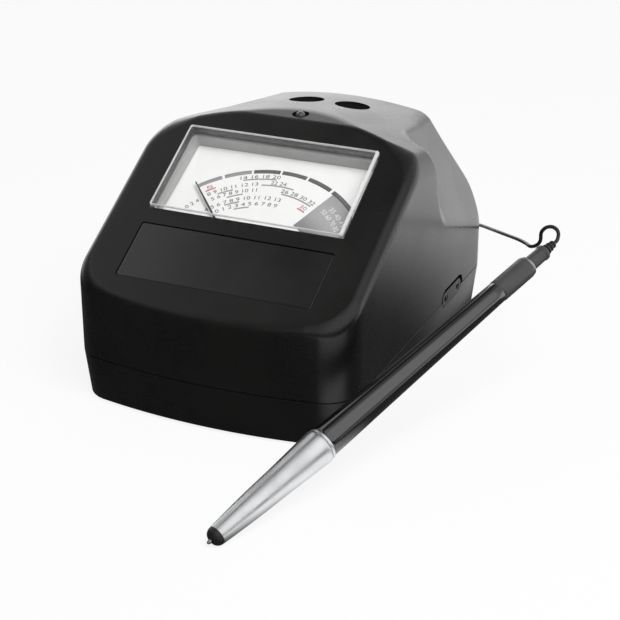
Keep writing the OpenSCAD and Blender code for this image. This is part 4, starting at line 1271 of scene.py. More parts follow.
@dataclass
class Stage:
    """The camera, the floor and the light.

    Attributes:
        eye: The camera's place, in millimetres.
        turn: The camera's turn about the upright, in degrees.
        rise: The camera's height above level, in degrees.
        lens: Focal length.
        sensor: Width of the camera's sensor.
        floor_half: Half the floor's side.
        floor_drop: How far the floor lies under the feet.
        aim: Height over the table that the lamps look at.
    """

    eye: Point = (212.3, -462.6, 245.1)
    turn: float = 23.893
    rise: float = 24.5
    lens: float = 97.29
    sensor: float = 36.0
    floor_half: float = 4000.0
    floor_drop: float = 0.02
    aim: float = 40.0

    def camera(self) -> None:
        """Sets the camera where the photograph was taken from."""
        data = bpy.data.cameras.new("camera")
        data.lens, data.sensor_width, data.clip_start = self.lens, self.sensor, 0.01
        obj = linked("camera", data)
        obj.location = [v * MM for v in self.eye]
        obj.rotation_euler = (math.radians(90 - self.rise), 0.0, math.radians(self.turn))
        bpy.context.scene.camera = obj

    @staticmethod
    def painted_floor_reflection(g: Graph, where: bpy.types.NodeSocket) -> bpy.types.NodeSocket:
        """How brightly the floor shows in glossy surfaces.

        A painted reflection: the floor glows to glossy rays alone. It is nearly dark, a painted
        shade, apart from the white floor behind the body and along its right wall, which grows
        brighter further back, and a white field under the front of the wand.

        Args:
            g: The floor's nodes.
            where: Its coordinates, in metres.

        Returns:
            The strength.
        """
        spot = g.add("ShaderNodeSeparateXYZ", {0: where}).outputs
        x, y = spot["X"], spot["Y"]
        strip = g.math("SUBTRACT", g.ramp(x, 0.03, 0.06), g.ramp(x, 0.14, 0.2))
        wand = g.times(strip, g.ramp(y, -0.05, -0.08))
        right = g.times(g.ramp(x, 0.11, 0.2), g.ramp(y, 0.03, 0.09))
        slant = g.math("SUBTRACT", y, g.times(x, 1.6))
        beside = g.times(g.ramp(x, 0.046, 0.05), g.ramp(slant, -0.083, 0.015))
        behind = g.larger(g.larger(g.ramp(y, 0.035, 0.14), right), beside)
        bright = g.times(behind, g.ramp(y, 0.06, 0.2, (1.0, 1.5)))
        return g.larger(g.larger(bright, wand), 0.075)

    def floor(self) -> None:
        """Lays a plain pale floor that keeps the object's shadow."""
        corner = np.array([[-1, -1], [1, -1], [1, 1], [-1, 1]]) * self.floor_half
        points = BENCH.at(corner[:, 0], corner[:, 1], -self.floor_drop)
        obj = solid("floor", (points, [[0, 1, 2, 3]]))
        material = bpy.data.materials.new("floor_paper")
        material.use_nodes = True
        g = Graph(material.node_tree)
        shader = material.node_tree.nodes["Principled BSDF"]
        where = g.add("ShaderNodeTexCoord").outputs["Object"]
        fibre = g.mix(g.noise(where, 300.0, 4.0), rgba((0.8, 0.8, 0.8)), rgba((0.84, 0.84, 0.84)))
        g.set(shader.inputs["Base Color"], fibre)
        shader.inputs["Roughness"].default_value = 0.9
        shader.inputs["Specular IOR Level"].default_value = 0.1
        # Painted reflection: glossy rays see a shaped glow here, not the lit paper.
        white, painted_glow = (g.add("ShaderNodeEmission", {"Color": WHITE, "Strength": s}).outputs[0]
                       for s in (1.0, self.painted_floor_reflection(g, where)))
        light, paper = g.add("ShaderNodeLightPath").outputs, shader.outputs[0]
        seen = g.either(light["Is Camera Ray"], paper, g.either(0.88, paper, white))
        shown = g.either(light["Is Glossy Ray"], seen, painted_glow)
        g.set(material.node_tree.nodes["Material Output"].inputs["Surface"], shown)
        obj.data.materials.append(material)

    @staticmethod
    def world_mirrored(g: Graph) -> bpy.types.NodeSocket:
        """How brightly the surroundings show in glossy surfaces.

        They are nearly dark, apart from a low field behind, which is brightest to both sides, a
        box overhead and a strip high on the left.

        Args:
            g: The surroundings' nodes.

        Returns:
            The strength.
        """
        aim = g.add("ShaderNodeTexCoord").outputs["Generated"]
        way = g.add("ShaderNodeSeparateXYZ", {0: aim}).outputs
        x, y, z = way["X"], way["Y"], way["Z"]
        low = g.times(g.ramp(y, -0.1, 0.55), g.ramp(z, 0.25, 0.7, (1.0, 0.0)))
        left, right = g.ramp(x, -0.3, -0.65, (0.88, 1.45)), g.ramp(x, 0.05, 0.45, (0.0, 0.6))
        back = g.times(low, g.math("ADD", left, right))
        edge = g.times(g.ramp(x, -0.24, -0.1, (0.0, 0.6)), g.ramp(y, 0.12, 0.22, (1.0, 0.35)))
        box = g.math("ADD", edge, g.ramp(x, 0.12, 0.24, (0.0, 0.34)))
        over = g.times(box, g.larger(g.ramp(z, 0.2, 0.3), g.ramp(y, 0.25, 0.45)))
        near, far = g.ramp(x, -0.38, -0.52, (0.0, 0.75)), g.ramp(x, -0.55, -0.7, (0.0, 0.4))
        strip = g.times(g.math("SUBTRACT", near, far), g.ramp(z, 0.4, 0.75))
        return g.math("ADD", 0.05, g.larger(g.larger(back, over), strip))

    def world(self) -> None:
        """Makes the surroundings: white to the camera, soft grey as light."""
        world = bpy.data.worlds.new("studio")
        world.use_nodes = True
        bpy.context.scene.world = world
        g = Graph(world.node_tree)
        light = g.add("ShaderNodeLightPath").outputs
        strength = g.mix(light["Is Glossy Ray"], rgba((0.3, 0.3, 0.3)), self.world_mirrored(g))
        seen = g.larger(light["Is Camera Ray"], light["Is Transmission Ray"])
        g.set(world.node_tree.nodes["Background"].inputs["Color"], g.mix(seen, strength, WHITE))

    def lamp(self, name: str, at: Point, size: Pair, watts: float, mirrored: bool) -> None:
        """Hangs a soft lamp that looks at the middle of the body.

        Args:
            name: The lamp's name.
            at: Its place, in millimetres.
            size: Its width and height, in millimetres.
            watts: Its power.
            mirrored: Whether it shows in glossy surfaces.
        """
        data = bpy.data.lights.new(name, "AREA")
        data.shape, data.size, data.size_y = "RECTANGLE", size[0] * MM, size[1] * MM
        data.energy = watts
        obj = linked(name, data)
        away = np.array(at, float) - (0.0, 0.0, self.aim)
        flat = math.hypot(away[0], away[1])
        obj.location = [v * MM for v in at]
        obj.rotation_euler = (math.atan2(flat, away[2]), 0.0, math.atan2(away[0], -away[1]))
        obj.visible_camera = False
        obj.visible_glossy = mirrored

    def light(self) -> None:
        """Sets the floor, the surroundings and the lamps."""
        self.floor()
        self.world()
        self.lamp("key", (430.0, -340.0, 790.0), (500.0, 500.0), 8.2, False)
        self.lamp("rear", (-330.0, 800.0, 230.0), (900.0, 320.0), 1.0, True)


@dataclass
class Lead:
    """The lead from the rear socket, round its coil, to the wand.

    Attributes:
        width: Diameter of the lead.
        start: The end of the plug's boot, where it leaves.
        drop: Points from there down to the coil.
        coil_mid: Middle of the coil.
        coil_in: Radius of the inmost turn.
        pitch: Distance from turn to turn and from layer to layer.
        turns: Turns of the coil.
        layers: Layers of the coil.
        lift: Gap under the lowest turn.
        run: Points from the coil to the wand.
    """

    width: float = 1.2
    start: Point = (28.0, 86.0, 26.0)
    drop: tuple = ((27.5, 95, 24.5), (26, 101.5, 18), (23, 105, 10), (17, 104.5, 4), (10, 102, 1.8))
    coil_mid: Pair = (2.0, 90.0)
    coil_in: float = 4.6
    pitch: float = 1.7
    turns: float = 12.5
    layers: int = 4
    lift: float = 0.7
    run: tuple = ((11, 80.5, 7.4), (20, 80, 11.6), (29, 78.6, 17), (36.5, 75.9, 22.8),
                  (43.2, 69.3, 25.3), (50.3, 59.6, 28.5), (59.2, 46, 33.1), (68, 32.4, 37.7),
                  (72.9, 24.8, 39.9), (75.5, 19.9, 41.3), (77.8, 16.9, 42.8), (79.7, 14.8, 44.7),
                  (80.7, 13.4, 46.7), (81, 12.5, 49.2), (81.6, 12, 50.6), (82.8, 12, 51.8),
                  (84.5, 12.1, 52.2), (86, 11.9, 51.7), (86.9, 11.2, 50.7), (87.1, 10.1, 49.5))

    def coil(self, steps: int = 36) -> np.ndarray:
        """The coil's centreline.

        The radius runs in and out by one pitch a turn, changing way at each layer, while the
        height steps up by one pitch, smoothly over half a turn, where the layers change.

        Args:
            steps: Points in each turn.

        Returns:
            The points, in millimetres.
        """
        t = np.linspace(0.0, self.turns, int(self.turns * steps) + 1)
        each = self.turns / self.layers
        k = np.minimum(np.floor(t / each + 1e-9), self.layers)
        f = t - k * each
        r = self.coil_in + self.pitch * np.where(k % 2 == 0, each - f, f)
        up = np.clip((t[:, None] - np.arange(1, self.layers) * each + 0.25) / 0.5, 0.0, 1.0)
        z = self.lift + self.width / 2 + self.pitch * (up * up * (3 - 2 * up)).sum(1)
        a = np.pi / 2 + 2 * np.pi * t
        return np.stack([self.coil_mid[0] + r * np.cos(a), self.coil_mid[1] + r * np.sin(a), z], -1)

    def path(self) -> np.ndarray:
        """The whole centreline, from the plug's boot to the wand, in millimetres.

        It is a smooth curve through the points of the drop, then the coil, then a smooth curve
        through the points of the run. The added points keep the ends of both curves straight.

        Returns:
            The points.
        """
        out, straight = np.array((self.width, 0.0, 0.0)), 2.5 * self.width
        coil, start, way = self.coil(), np.array(self.start), np.array(WAND_AXIS)
        wand = [np.array(WAND_TIP) + s * way for s in (WAND_END + self.width, WAND_END)]
        first = [start, start + (0.0, straight, 0.0), *np.array(self.drop, float),
                 coil[0] + 3.5 * out, coil[0] + out]
        last = [coil[-1] + out, coil[-1] + 3.5 * out, *np.array(self.run, float), *wand]
        return np.concatenate([spline(np.array(first), 8), coil, spline(np.array(last), 8)])

    def build(self) -> None:
        """Lays the lead, its tie, its plug and the plug's boot."""
        path = self.path()
        obj = solid("lead", hose(path, self.width / 2))
        place(obj, LEAD_RUBBER, "", ("lead_drop", "lead_coil", "lead_run"))
        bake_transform(obj)
        pieces = [self.tie(), self.plug(), self.boot()]

    def tie(self) -> bpy.types.Object:
        """A flat band round one side of the coil.

        The band's section, a rounded rectangle's outline, is offset outwards by its thickness
        and swept across its width.

        Returns:
            The band.
        """
        half, thick, slack = 2.0, 0.5, 0.2
        inner = math.sqrt((self.coil_in - self.width / 2) ** 2 - half**2) - slack
        outer = self.coil_in + self.turns / self.layers * self.pitch + self.width / 2 + slack
        top = self.lift + (self.layers - 1) * self.pitch + self.width + slack
        x, y = self.coil_mid
        mid = Placing((x - (inner + outer) / 2, y, (top + thick) / 2), RIGHT, UP)
        edge = eased(((0.0, -half, 0), (thick, -half, 0.2), (thick, half, 0.2), (0.0, half, 0),
                      (0.0, -half, 0)), 3)
        line = np.stack([thick - edge[:, 0], edge[:, 1]], -1)
        size = (outer - inner + 2 * thick, top + thick, 1.2)
        shape = slab(mid, (0.0, 0.0), size, line, True)
        return fitted("lead_band", shape, TIE_PLASTIC, "lead_tie")

    def plug(self) -> bpy.types.Object:
        """The plug, whose grip has a row of shallow flutes.

        The radius of the grip dips by about a tenth of a millimetre, as the cosine of eighteen
        times the angle.

        Returns:
            The plug.
        """
        line = eased(((CORE, -14, 0), (1.2, -14, 0.5), (1.75, -13, 0.4), (1.75, 0.1, 0),
                      (3.4, 0.1, 0.4), (3.4, 2, 0.2), (3.25, 2.4, 0.2), (3.25, 9, 0.2),
                      (3.4, 9.4, 0.2), (3.4, 11, 0.5), (CORE, 11, 0)), 4)
        a = np.linspace(0.0, 2 * np.pi, 144, endpoint=False)
        grip = np.where((line[:, 1:] > 2.2) & (line[:, 1:] < 9.2), 0.11, 0.0)
        r = line[:, :1] - grip * (0.5 + 0.5 * np.cos(18 * a))
        shape = loft(PLUG.at(r * np.cos(a), r * np.sin(a), line[:, 1:]))
        return fitted("lead_plug", shape, SOCKET_PLASTIC, "probe_plug")

    def boot(self) -> bpy.types.Object:
        """The plug's tapered boot, ringed by grooves.

        The radius falls in a straight line, less the fourth power of a cosine at each groove.

        Returns:
            The boot.
        """
        s0, s1 = 11.0, 20.0
        s = np.linspace(s0, s1, 73)
        groove = np.clip(np.cos(2 * np.pi * (s - 12.6) / 1.7), 0, 1) ** 4 * (s < 19)
        r = 2.4 - 1.2 * (s - s0) / 9.0 - 0.28 * groove
        line = np.concatenate([[[CORE, s0]], np.stack([r, s], -1), [[CORE, s1]]])
        return fitted("lead_boot", turned(line, PLUG, 40), COLLAR_RUBBER, "plug_boot")


@dataclass
class Body:
    """The housing, the pan and what is set into them.

    Attributes:
        form: The outer form of the case.
        wall: Thickness of the housing.
        grid: Steps of the housing's inner skin along its three sides.
        foot: Height of the pan over the table.
        draft: How far the pan leans in at the bottom.
        pan_rounds: Rounds on the pan's lower and upper edge.
        pan_wall: Inset of the inner side of the pan's wall, and of the core inside it.
        seam: Gap between the pan and the housing.
        jack: Middle of the power socket along the wall.
        door: Middle and half width of the battery door's slot, and its height.
        jack_recess: Width, height and corner radius of the housing's recess there.
        jack_notch: The same of the pan's notch.
        holes: Radii of the holes for a button, the lamp and the plug.
        label: Width, height and corner radius of the label plate.
        label_pocket: The same of the pocket that it lies in.
        label_mid: Distance of its middle up the face.
        label_top: Height of its surface over the face.
        label_thick: Its thickness.
        foot_spots: Places of the feet.
        foot_size: Radius and height of a foot.
    """

    form: CaseForm = CASE
    wall: float = 2.4
    grid: tuple[int, int, int] = (30, 42, 20)
    foot: float = 0.8
    draft: float = 1.7
    pan_rounds: Pair = (1.1, 0.12)
    pan_wall: Pair = (2.7, 2.2)
    seam: float = 0.32
    jack: float = 29.3
    door: tuple[float, float, float] = (34.0, 14.1, 3.4)
    jack_recess: tuple[float, float, float] = (21.0, 7.8, 3.8)
    jack_notch: tuple[float, float, float] = (18.6, 5.4, 2.6)
    holes: tuple[float, float, float] = (5.95, 2.8, 4.2)
    label: tuple[float, float, float] = (65.0, 20.9, 0.8)
    label_pocket: tuple[float, float, float] = (65.4, 21.3, 0.9)
    label_mid: float = 21.15
    label_top: float = -0.2
    label_thick: float = 0.9
    foot_spots: tuple = ((34.8, -40.75), (-34.8, -40.75), (35.8, 56.5), (-35.8, 56.5))
    foot_size: Pair = (4.5, 1.55)

    def housing(self) -> None:
        """The housing: the case's form, cut for the window, label, sockets, buttons and lamp."""
        tools = [slab(FACE, (0.0, WINDOW_MID), (*WINDOW, 0.3), upright(-7.0, 6.0)),
                 slab(FACE, (0.0, self.label_mid), self.label_pocket, upright(-1.1, 6.0)),
                 slab(self.jack_wall(), (0.0, 0.0), self.jack_recess, upright(-6.0, 2.0))]
        button, lamp, plug = self.holes
        x, y = BUTTON_SPOT
        holes = [(tuple(TOP.at(s * x, y, 0.0) / MM), TOP.along, button) for s in (-1, 1)]
        holes += [(LAMP_SPOT, REAR, lamp), (LEAD_SOCKET, DOWN, plug)]
        for spot, along, r in holes:
            line = np.array(((0.01, -6.0), (r, -6.0), (r, 4.0), (0.01, 4.0)))
            tools.append(turned(line, Placing(spot, RIGHT, along), 96))
        obj = carved(solid("housing_shell", self.form.shell(self.grid, self.wall)), joined(tools))
        self.form.polish(obj)
        place(obj, BODY_PLASTIC, "body", ("upper_housing",))

    def jack_wall(self) -> Placing:
        """The frame of the right-hand wall at the power socket."""
        return Placing((self.form.half, self.jack, self.form.part), REAR, UP)

    def pan_ring(self, inset: float, z: float) -> np.ndarray:
        """The plan's outline, drawn in and set at a height, in metres.

        Args:
            inset: How far it is drawn in, in millimetres.
            z: The height, in millimetres.

        Returns:
            The points.
        """
        around = self.form.ring(94, 132, self.form.part)
        points = self.form.seen(around, -inset, True)
        return np.concatenate([points[:, :2], np.full((len(points), 1), z)], -1) * MM

    def pan(self) -> None:
        """The pan: a drafted outer wall with round edges, about a core that holds the fittings."""
        (low, high), (deep, core_in) = self.pan_rounds, self.pan_wall
        brim, foot = self.form.part - self.seam, self.foot
        line = eased(((deep, foot + 0.05, 0), (self.draft, foot, low), (0.02, brim, high),
                      (deep, brim, 0), (deep, foot + 0.05, 0)), 6)
        band = solid("pan_wall", loft(np.stack([self.pan_ring(a, z) for a, z in line]), True))
        mid, half, top = self.door
        left = Placing((-self.form.half, mid, 0.0), REAR, UP)
        through = upright(-2.0, 6.0)
        tools = [slab(self.jack_wall(), (0.0, 0.0), self.jack_notch, upright(-6.0, 2.0)),
                 slab(left, (0.0, top / 2 - 1.0), (2 * half, top + 2.0, 0.05), through),
                 slab(left, (0.0, 1.8), (2 * half + 2.4, 1.2, 0.05), through)]
        for tool in tools:
            carved(band, tool)
        place(band, BODY_PLASTIC, "body", ("base_pan",))
        prism = loft(np.stack([self.pan_ring(core_in, z) for z in (0.0, 30.0)]))
        core = carved(copied("pan_core", "base_pan"), prism, "INTERSECT")
        place(core, BODY_PLASTIC, "body", ("base_pan",))

    def shells(self) -> None:
        """The two halves of the case and the battery door."""
        self.housing()
        self.pan()
        softened("door_slide", "battery_door", 0.15, BODY_PLASTIC, "battery_door")

    def plate(self) -> None:
        """The bare label plate, with a fine round along its edge."""
        low = self.label_top - self.label_thick
        line = eased(((0.0, low, 0), (0.0, self.label_top, 0.25), (0.6, self.label_top, 0)), 4)
        shape = slab(FACE, (0.0, self.label_mid), self.label, line)
        fitted("label_film_plate", shape, LABEL_FILM, "label_plate")

    def feet(self) -> None:
        """Four soft feet with round edges and a shallow dish underneath."""
        r, h = self.foot_size
        line = eased(((CORE, 0.25, 0), (r - 1.6, 0.25, 0.6), (r - 1.2, 0.0, 0.5), (r, 0.0, 0.6),
                      (r, h, 0), (CORE, h, 0)), 4)
        feet = [turned(line, Placing((x, y, 0.0), RIGHT, REAR), 40) for x, y in self.foot_spots]
        fitted("soft_feet", joined(feet), FOOT_RUBBER, "rubber_feet")

    def fittings(self) -> None:
        """The case screws and the sockets."""
        softened("case_screw_set", "case_screws", 0.12, SCREW_STEEL)
        softened("power_socket_face", "power_socket", 0.2, SOCKET_PLASTIC)
        softened("probe_socket_nose", "probe_socket", 0.2, SOCKET_PLASTIC)

    def build(self) -> None:
        """Builds every piece of the body."""
        self.shells()
        self.plate()
        self.feet()
        self.fittings()


@dataclass
class Controls:
    """The two buttons, their lettering and the lamp.

    Attributes:
        radius: Radius of a button.
        top: Height of a button's top in the frame of the top.
        flange: Height, thickness and extra radius of the flange inside.
        stem: Radius and lower end of the post.
        word: Height of the lettering, and how far it lies left of a button and in front of it.
    """

    radius: float = 5.75
    top: float = -0.665
    flange: tuple[float, float, float] = (-3.699, 1.2, 1.1)
    stem: Pair = (1.6, -7.09)
    word: tuple[float, float, float] = (1.7, 2.2, 3.2)

    def button(self, side: int, name: str) -> None:
        """A button with a slightly dished top and a round edge.

        Args:
            side: -1 for the left one, 1 for the right one.
            name: The node that it takes the place of, and the body that it is.
        """
        w, t, more = self.flange
        r, e = self.radius, self.top
        post, foot = self.stem
        line = eased(((CORE, foot, 0), (post, foot, 0.2), (post, w - t, 0.1),
                      (r + more, w - t, 0.15), (r + more, w, 0.15), (r, w, 0), (r, e, 0.45),
                      (r * 0.7, e - 0.08, 3), (CORE, e - 0.16, 0)), 6)
        spot = TOP.at(side * BUTTON_SPOT[0], BUTTON_SPOT[1], 0.0) / MM
        at = Placing(tuple(spot), RIGHT, TOP.along)
        fitted(name + "_cap", turned(line, at, 96), BUTTON_PLASTIC, name, name)

    def words(self) -> None:
        """Small generic lettering in front of each button, laid on the crowned top."""
        shapes = []
        height, left, fore = self.word
        x, y = BUTTON_SPOT
        for side, word in ((-1, "ON"), (1, "OFF")):
            flat, faces = lettering(word, height)
            u, t = flat[:, 0] + side * x - left, flat[:, 1] + y - self.radius - fore
            crown = np.sqrt(CASE.crown**2 - u**2) - CASE.crown
            shapes.append((TOP.at(u, t, crown + 0.02), faces))
        printed("button_words", shapes, INK_WHITE)

    def lamp(self) -> None:
        """The lamp's domed lens and the black ring that it sits in."""
        at, r = Placing(LAMP_SPOT, RIGHT, REAR), 1.5
        a = np.linspace(0.0, np.pi / 2, 13)[:-1]
        body = [[CORE, -3.4], [1.9, -3.4], [1.9, -2.4], [r, -2.4]]
        dome = np.stack([r * np.cos(a), r * np.sin(a) - 0.6], -1)
        line = np.concatenate([body, dome, [[CORE, 0.9]]])
        fitted("lamp_dome", turned(line, at, 48), LAMP_LENS, "ready_lamp")
        ring = eased(((2.1, -2.4, 0), (2.7, -2.4, 0), (2.7, -0.4, 0.25), (1.56, -0.4, 0.35),
                      (1.56, -2.4, 0), (2.1, -2.4, 0)), 5)
        fitted("lamp_bezel", turned(ring, at, 64, True), BUTTON_PLASTIC, "lamp_ring")

    def build(self) -> None:
        """Builds the buttons, the lettering and the lamp."""
        self.button(-1, "left_button")
        self.button(1, "right_button")
        self.words()
        self.lamp()


@dataclass(frozen=True)
class Mark:
    """A printed bar or a row of figures on the dial.

    Attributes:
        radius: Radius of its middle about the needle's pivot.
        start: Angle of its left end from the dial's middle, in degrees.
        stop: Angle of its right end.
        figures: The figures, none for a bar.
    """

    radius: float
    start: float
    stop: float
    figures: str = ""


@dataclass
class Meter:
    """The window, the dial and the needle.

    Attributes:
        rise: Height of the window's surface over the face.
        wall: Thickness of the window's clear walls.
        rim: Depth of the window's lower rim.
        dial: Depth of the dial's surface.
        pivot: Distance of the needle's pivot up the face.
        shift: How far to the right of the middle the pivot and the print lie.
        arc: Inner and outer radius of the scale's bars.
        bars: Left and right end of each bar, in degrees from the dial's middle.
        marks: The thin bars.
        rows: The rows of figures.
        red_marks: The red bars.
        red_rows: The red figures.
        shade: Inner radius of the shaded part, and its left and right end.
        shade_rows: The figures on it.
        rest: The needle's angle at rest.
        blade: Distance from the pivot and half width at each station of the needle.
        stroke: Half the width of a thin bar.
        figure: Height of a figure on the dial and on its shaded part.
        lift: Height of the print's middle over the dial.
    """

    rise: float = 1.5
    wall: float = 1.6
    rim: float = -3.6
    dial: float = -8.0
    pivot: float = 26.7
    shift: float = 1.0
    arc: Pair = (37.9, 39.4)
    bars: tuple = ((-43.5, -31.0), (-29.7, -16.5), (-15.4, -2.2), (-1.1, 11.9), (13.1, 26.9),
                   (28.4, 45.0))
    marks: tuple = (Mark(35.5, -20.5, -2.7), Mark(33.0, -10.0, 9.4), Mark(30.2, 4.1, 26.2),
                    Mark(32.2, -35.5, -26.5), Mark(29.6, -30.7, -20.6), Mark(26.6, -33.2, -22.8),
                    Mark(23.9, -27.1, -15.5))
    rows: tuple = (Mark(36.6, -22.0, -1.0, "14 16 18 20"), Mark(34.2, -5.0, 4.0, "22 24"),
                   Mark(31.5, 3.0, 27.0, "26 28 30 32"),
                   Mark(33.5, -41.0, -12.0, "8 9 10 11 12 13"),
                   Mark(31.0, -40.0, -12.0, "5 6 7 8 9 10 11"),
                   Mark(27.8, -47.0, 6.0, "4 5 6 7 8 9 10 11 12 13"),
                   Mark(25.3, -41.0, 6.0, "0 1 2 3 4 5 6 7 8 9"),
                   Mark(33.0, -55.0, -46.5, "0 2 4"))
    red_marks: tuple = (Mark(35.1, -41.1, -35.3), Mark(27.3, 20.1, 26.4))
    red_rows: tuple = (Mark(36.3, -40.0, -36.4, "5"), Mark(28.6, 20.6, 26.0, "30"))
    shade: tuple[float, float, float] = (21.6, 29.6, 61.0)
    shade_rows: tuple = (Mark(34.0, 36.0, 51.0, "35 40 45"), Mark(31.6, 34.0, 52.6, "50 60 70 80"))
    rest: float = -43.5
    blade: tuple[Pair, ...] = ((-8.0, 0.7), (-7.8, 0.9), (-3.0, 0.9), (1.0, 0.42), (30.0, 0.3),
                               (39.2, 0.2), (39.4, 0.12))
    stroke: float = 0.25
    figure: Pair = (1.45, 1.7)
    lift: float = 0.03

    def ring_at(self, radius: np.ndarray, degrees: np.ndarray) -> np.ndarray:
        """Points of the print by radius and angle about the needle's pivot.

        Args:
            radius: Distances from the pivot.
            degrees: Angles from the dial's middle.

        Returns:
            The points, in metres.
        """
        a = np.radians(degrees)
        x, y = self.shift + radius * np.sin(a), self.pivot + radius * np.cos(a)
        return FACE.at(x, y, self.dial + self.lift)

    def bar(self, inner: float, outer: float, start: float, stop: float) -> Shape:
        """A flat bar between two radii and two angles.

        Args:
            inner: The inner radius.
            outer: The outer radius.
            start: The left angle.
            stop: The right angle.

        Returns:
            The points and the faces.
        """
        a = np.linspace(start, stop, max(4, int(abs(stop - start) * 1.5)))
        points = self.ring_at(np.array([[inner], [outer]]), a[None, :])
        return points.reshape(-1, 3), grid_faces(2, len(a), False, False)

    def line(self, mark: Mark) -> Shape:
        """A thin bar."""
        return self.bar(mark.radius - self.stroke, mark.radius + self.stroke, mark.start, mark.stop)

    def row(self, mark: Mark, height: float) -> Shape:
        """Figures bent round the dial, spread from one angle to the other.

        Their width becomes angle and their height radius.

        Args:
            mark: The row.
            height: Height of a figure.

        Returns:
            The points and the faces.
        """
        flat, faces = lettering(mark.figures, height)
        share = (flat[:, 0] - flat[:, 0].min()) / np.ptp(flat[:, 0])
        angle = mark.start + (mark.stop - mark.start) * share
        return self.ring_at(mark.radius - height / 2 + flat[:, 1], angle), faces

    def scale(self) -> None:
        """Prints the scale, its figures and the shaded end of the dial."""
        (inner, outer), (small, large) = self.arc, self.figure
        arcs = [self.bar(inner, outer, a, b) for a, b in self.bars]
        red = [self.line(m) for m in self.red_marks] + [self.row(m, small) for m in self.red_rows]
        shade = self.bar(self.shade[0], inner - 0.02, *self.shade[1:])
        white = [self.row(m, large) for m in self.shade_rows]
        printed("scale_bars_pale", arcs[:2], INK_GREY)
        printed("scale_bars_dark", arcs[2:], INK_DARK)
        printed("scale_lines", [self.line(m) for m in self.marks], INK_GREY)
        printed("scale_figures", [self.row(m, small) for m in self.rows], INK_DARK)
        printed("scale_red", red, INK_RED)
        printed("scale_shade", [shade], INK_PALE, 0.02)
        printed("scale_figures_white", white, INK_WHITE, 0.06)

    def window_pieces(self) -> None:
        """The clear window: pane and clear walls, with a painted highlight on the polished edges.
        """
        w, h = (side - 0.4 for side in WINDOW)
        mid, size, under = (0.0, WINDOW_MID), (w, h, 0.6), self.rise - self.wall
        line = eased(((1.3, under, 0), (0.0, under, 0), (0.0, self.rise, 0.3),
                      (1.3, self.rise, 0)), 4)
        fitted("window_pane", slab(FACE, mid, size, line), WINDOW_CLEAR, "meter_window")
        rings = []
        for left, right, height in ((0.03, 0.03, 0.7), (0.03, 0.03, 1.3), (0.12, 0.12, 1.46),
                                    (0.3, 1.0, 1.46), (0.3, 1.0, 0.7)):
            xy = rounded_outline(w - left - right, h - 2 * left, 0.55)
            rings.append(FACE.at(xy[:, 0] + (left - right) / 2, WINDOW_MID + xy[:, 1], height))
        # Painted highlight: the rim's half-opaque white stands for the glint of the polished edges.
        fitted("window_glint_rim", loft(np.stack(rings), True), PAINTED_WINDOW_GLINT, "meter_window")
        foot, head = self.rim, under - 0.05
        skirt = np.array(((0.02, foot), (0.02, head), (1.4, head), (1.4, foot), (0.02, foot)))
        fitted("window_skirt", slab(FACE, mid, size, skirt, True), WINDOW_CLEAR, "meter_window")

    def liner(self) -> None:
        """The case round the dial, and its inner wall, open below for the needle."""
        softened("meter_box", "meter_case", 0.15, METER_PLASTIC)
        w, h = (side - 1.6 for side in WINDOW)
        rings = []
        for out, high in ((0.0, False), (0.0, True), (1.2, True), (1.2, False)):
            xy = rounded_outline(w + 2 * out, h + 2 * out, 0.8 + out)
            foot = np.where(xy[:, 1] < 1.0 - h / 2, self.dial + 2.1, self.dial + 0.06)
            height = self.rim - 0.02 if high else foot
            rings.append(FACE.at(xy[:, 0], WINDOW_MID + xy[:, 1], height))
        fitted("meter_mask", loft(np.stack(rings), True), METER_PLASTIC, "meter_case")

    def needle(self) -> None:
        """The needle: a thin blade that narrows to its tip, on a hub with a counterweight.

        The blade is a rectangle whose half width runs in a straight line from station to
        station.
        """
        t = math.radians(-self.rest)
        c, s = math.cos(t), math.sin(t)
        low = FACE.at(self.shift, self.pivot, self.dial + 1.3) / MM
        x, y = np.array(FACE.across), np.array(FACE.along)
        at = Placing(tuple(low), tuple(c * x + s * y), tuple(-s * x + c * y))
        run, half = np.array(self.blade).T
        across, up = half[:, None] * np.array([-1, 1, 1, -1]), np.array([0.0, 0.0, 0.4, 0.4])
        blade = loft(at.at(across, run[:, None], up))
        edge = eased(((0.46, 0, 0), (1.6, 0, 0), (1.6, 0.4, 0.15), (0.46, 0.4, 0), (0.46, 0, 0)))
        shape = joined([blade, turned(edge, at, 40, True)])
        fitted("needle_blade", shape, NEEDLE_PAINT, "needle", "meter_movement")

    def build(self) -> None:
        """Builds every piece of the meter."""
        self.window_pieces()
        self.liner()
        self.scale()
        self.needle()


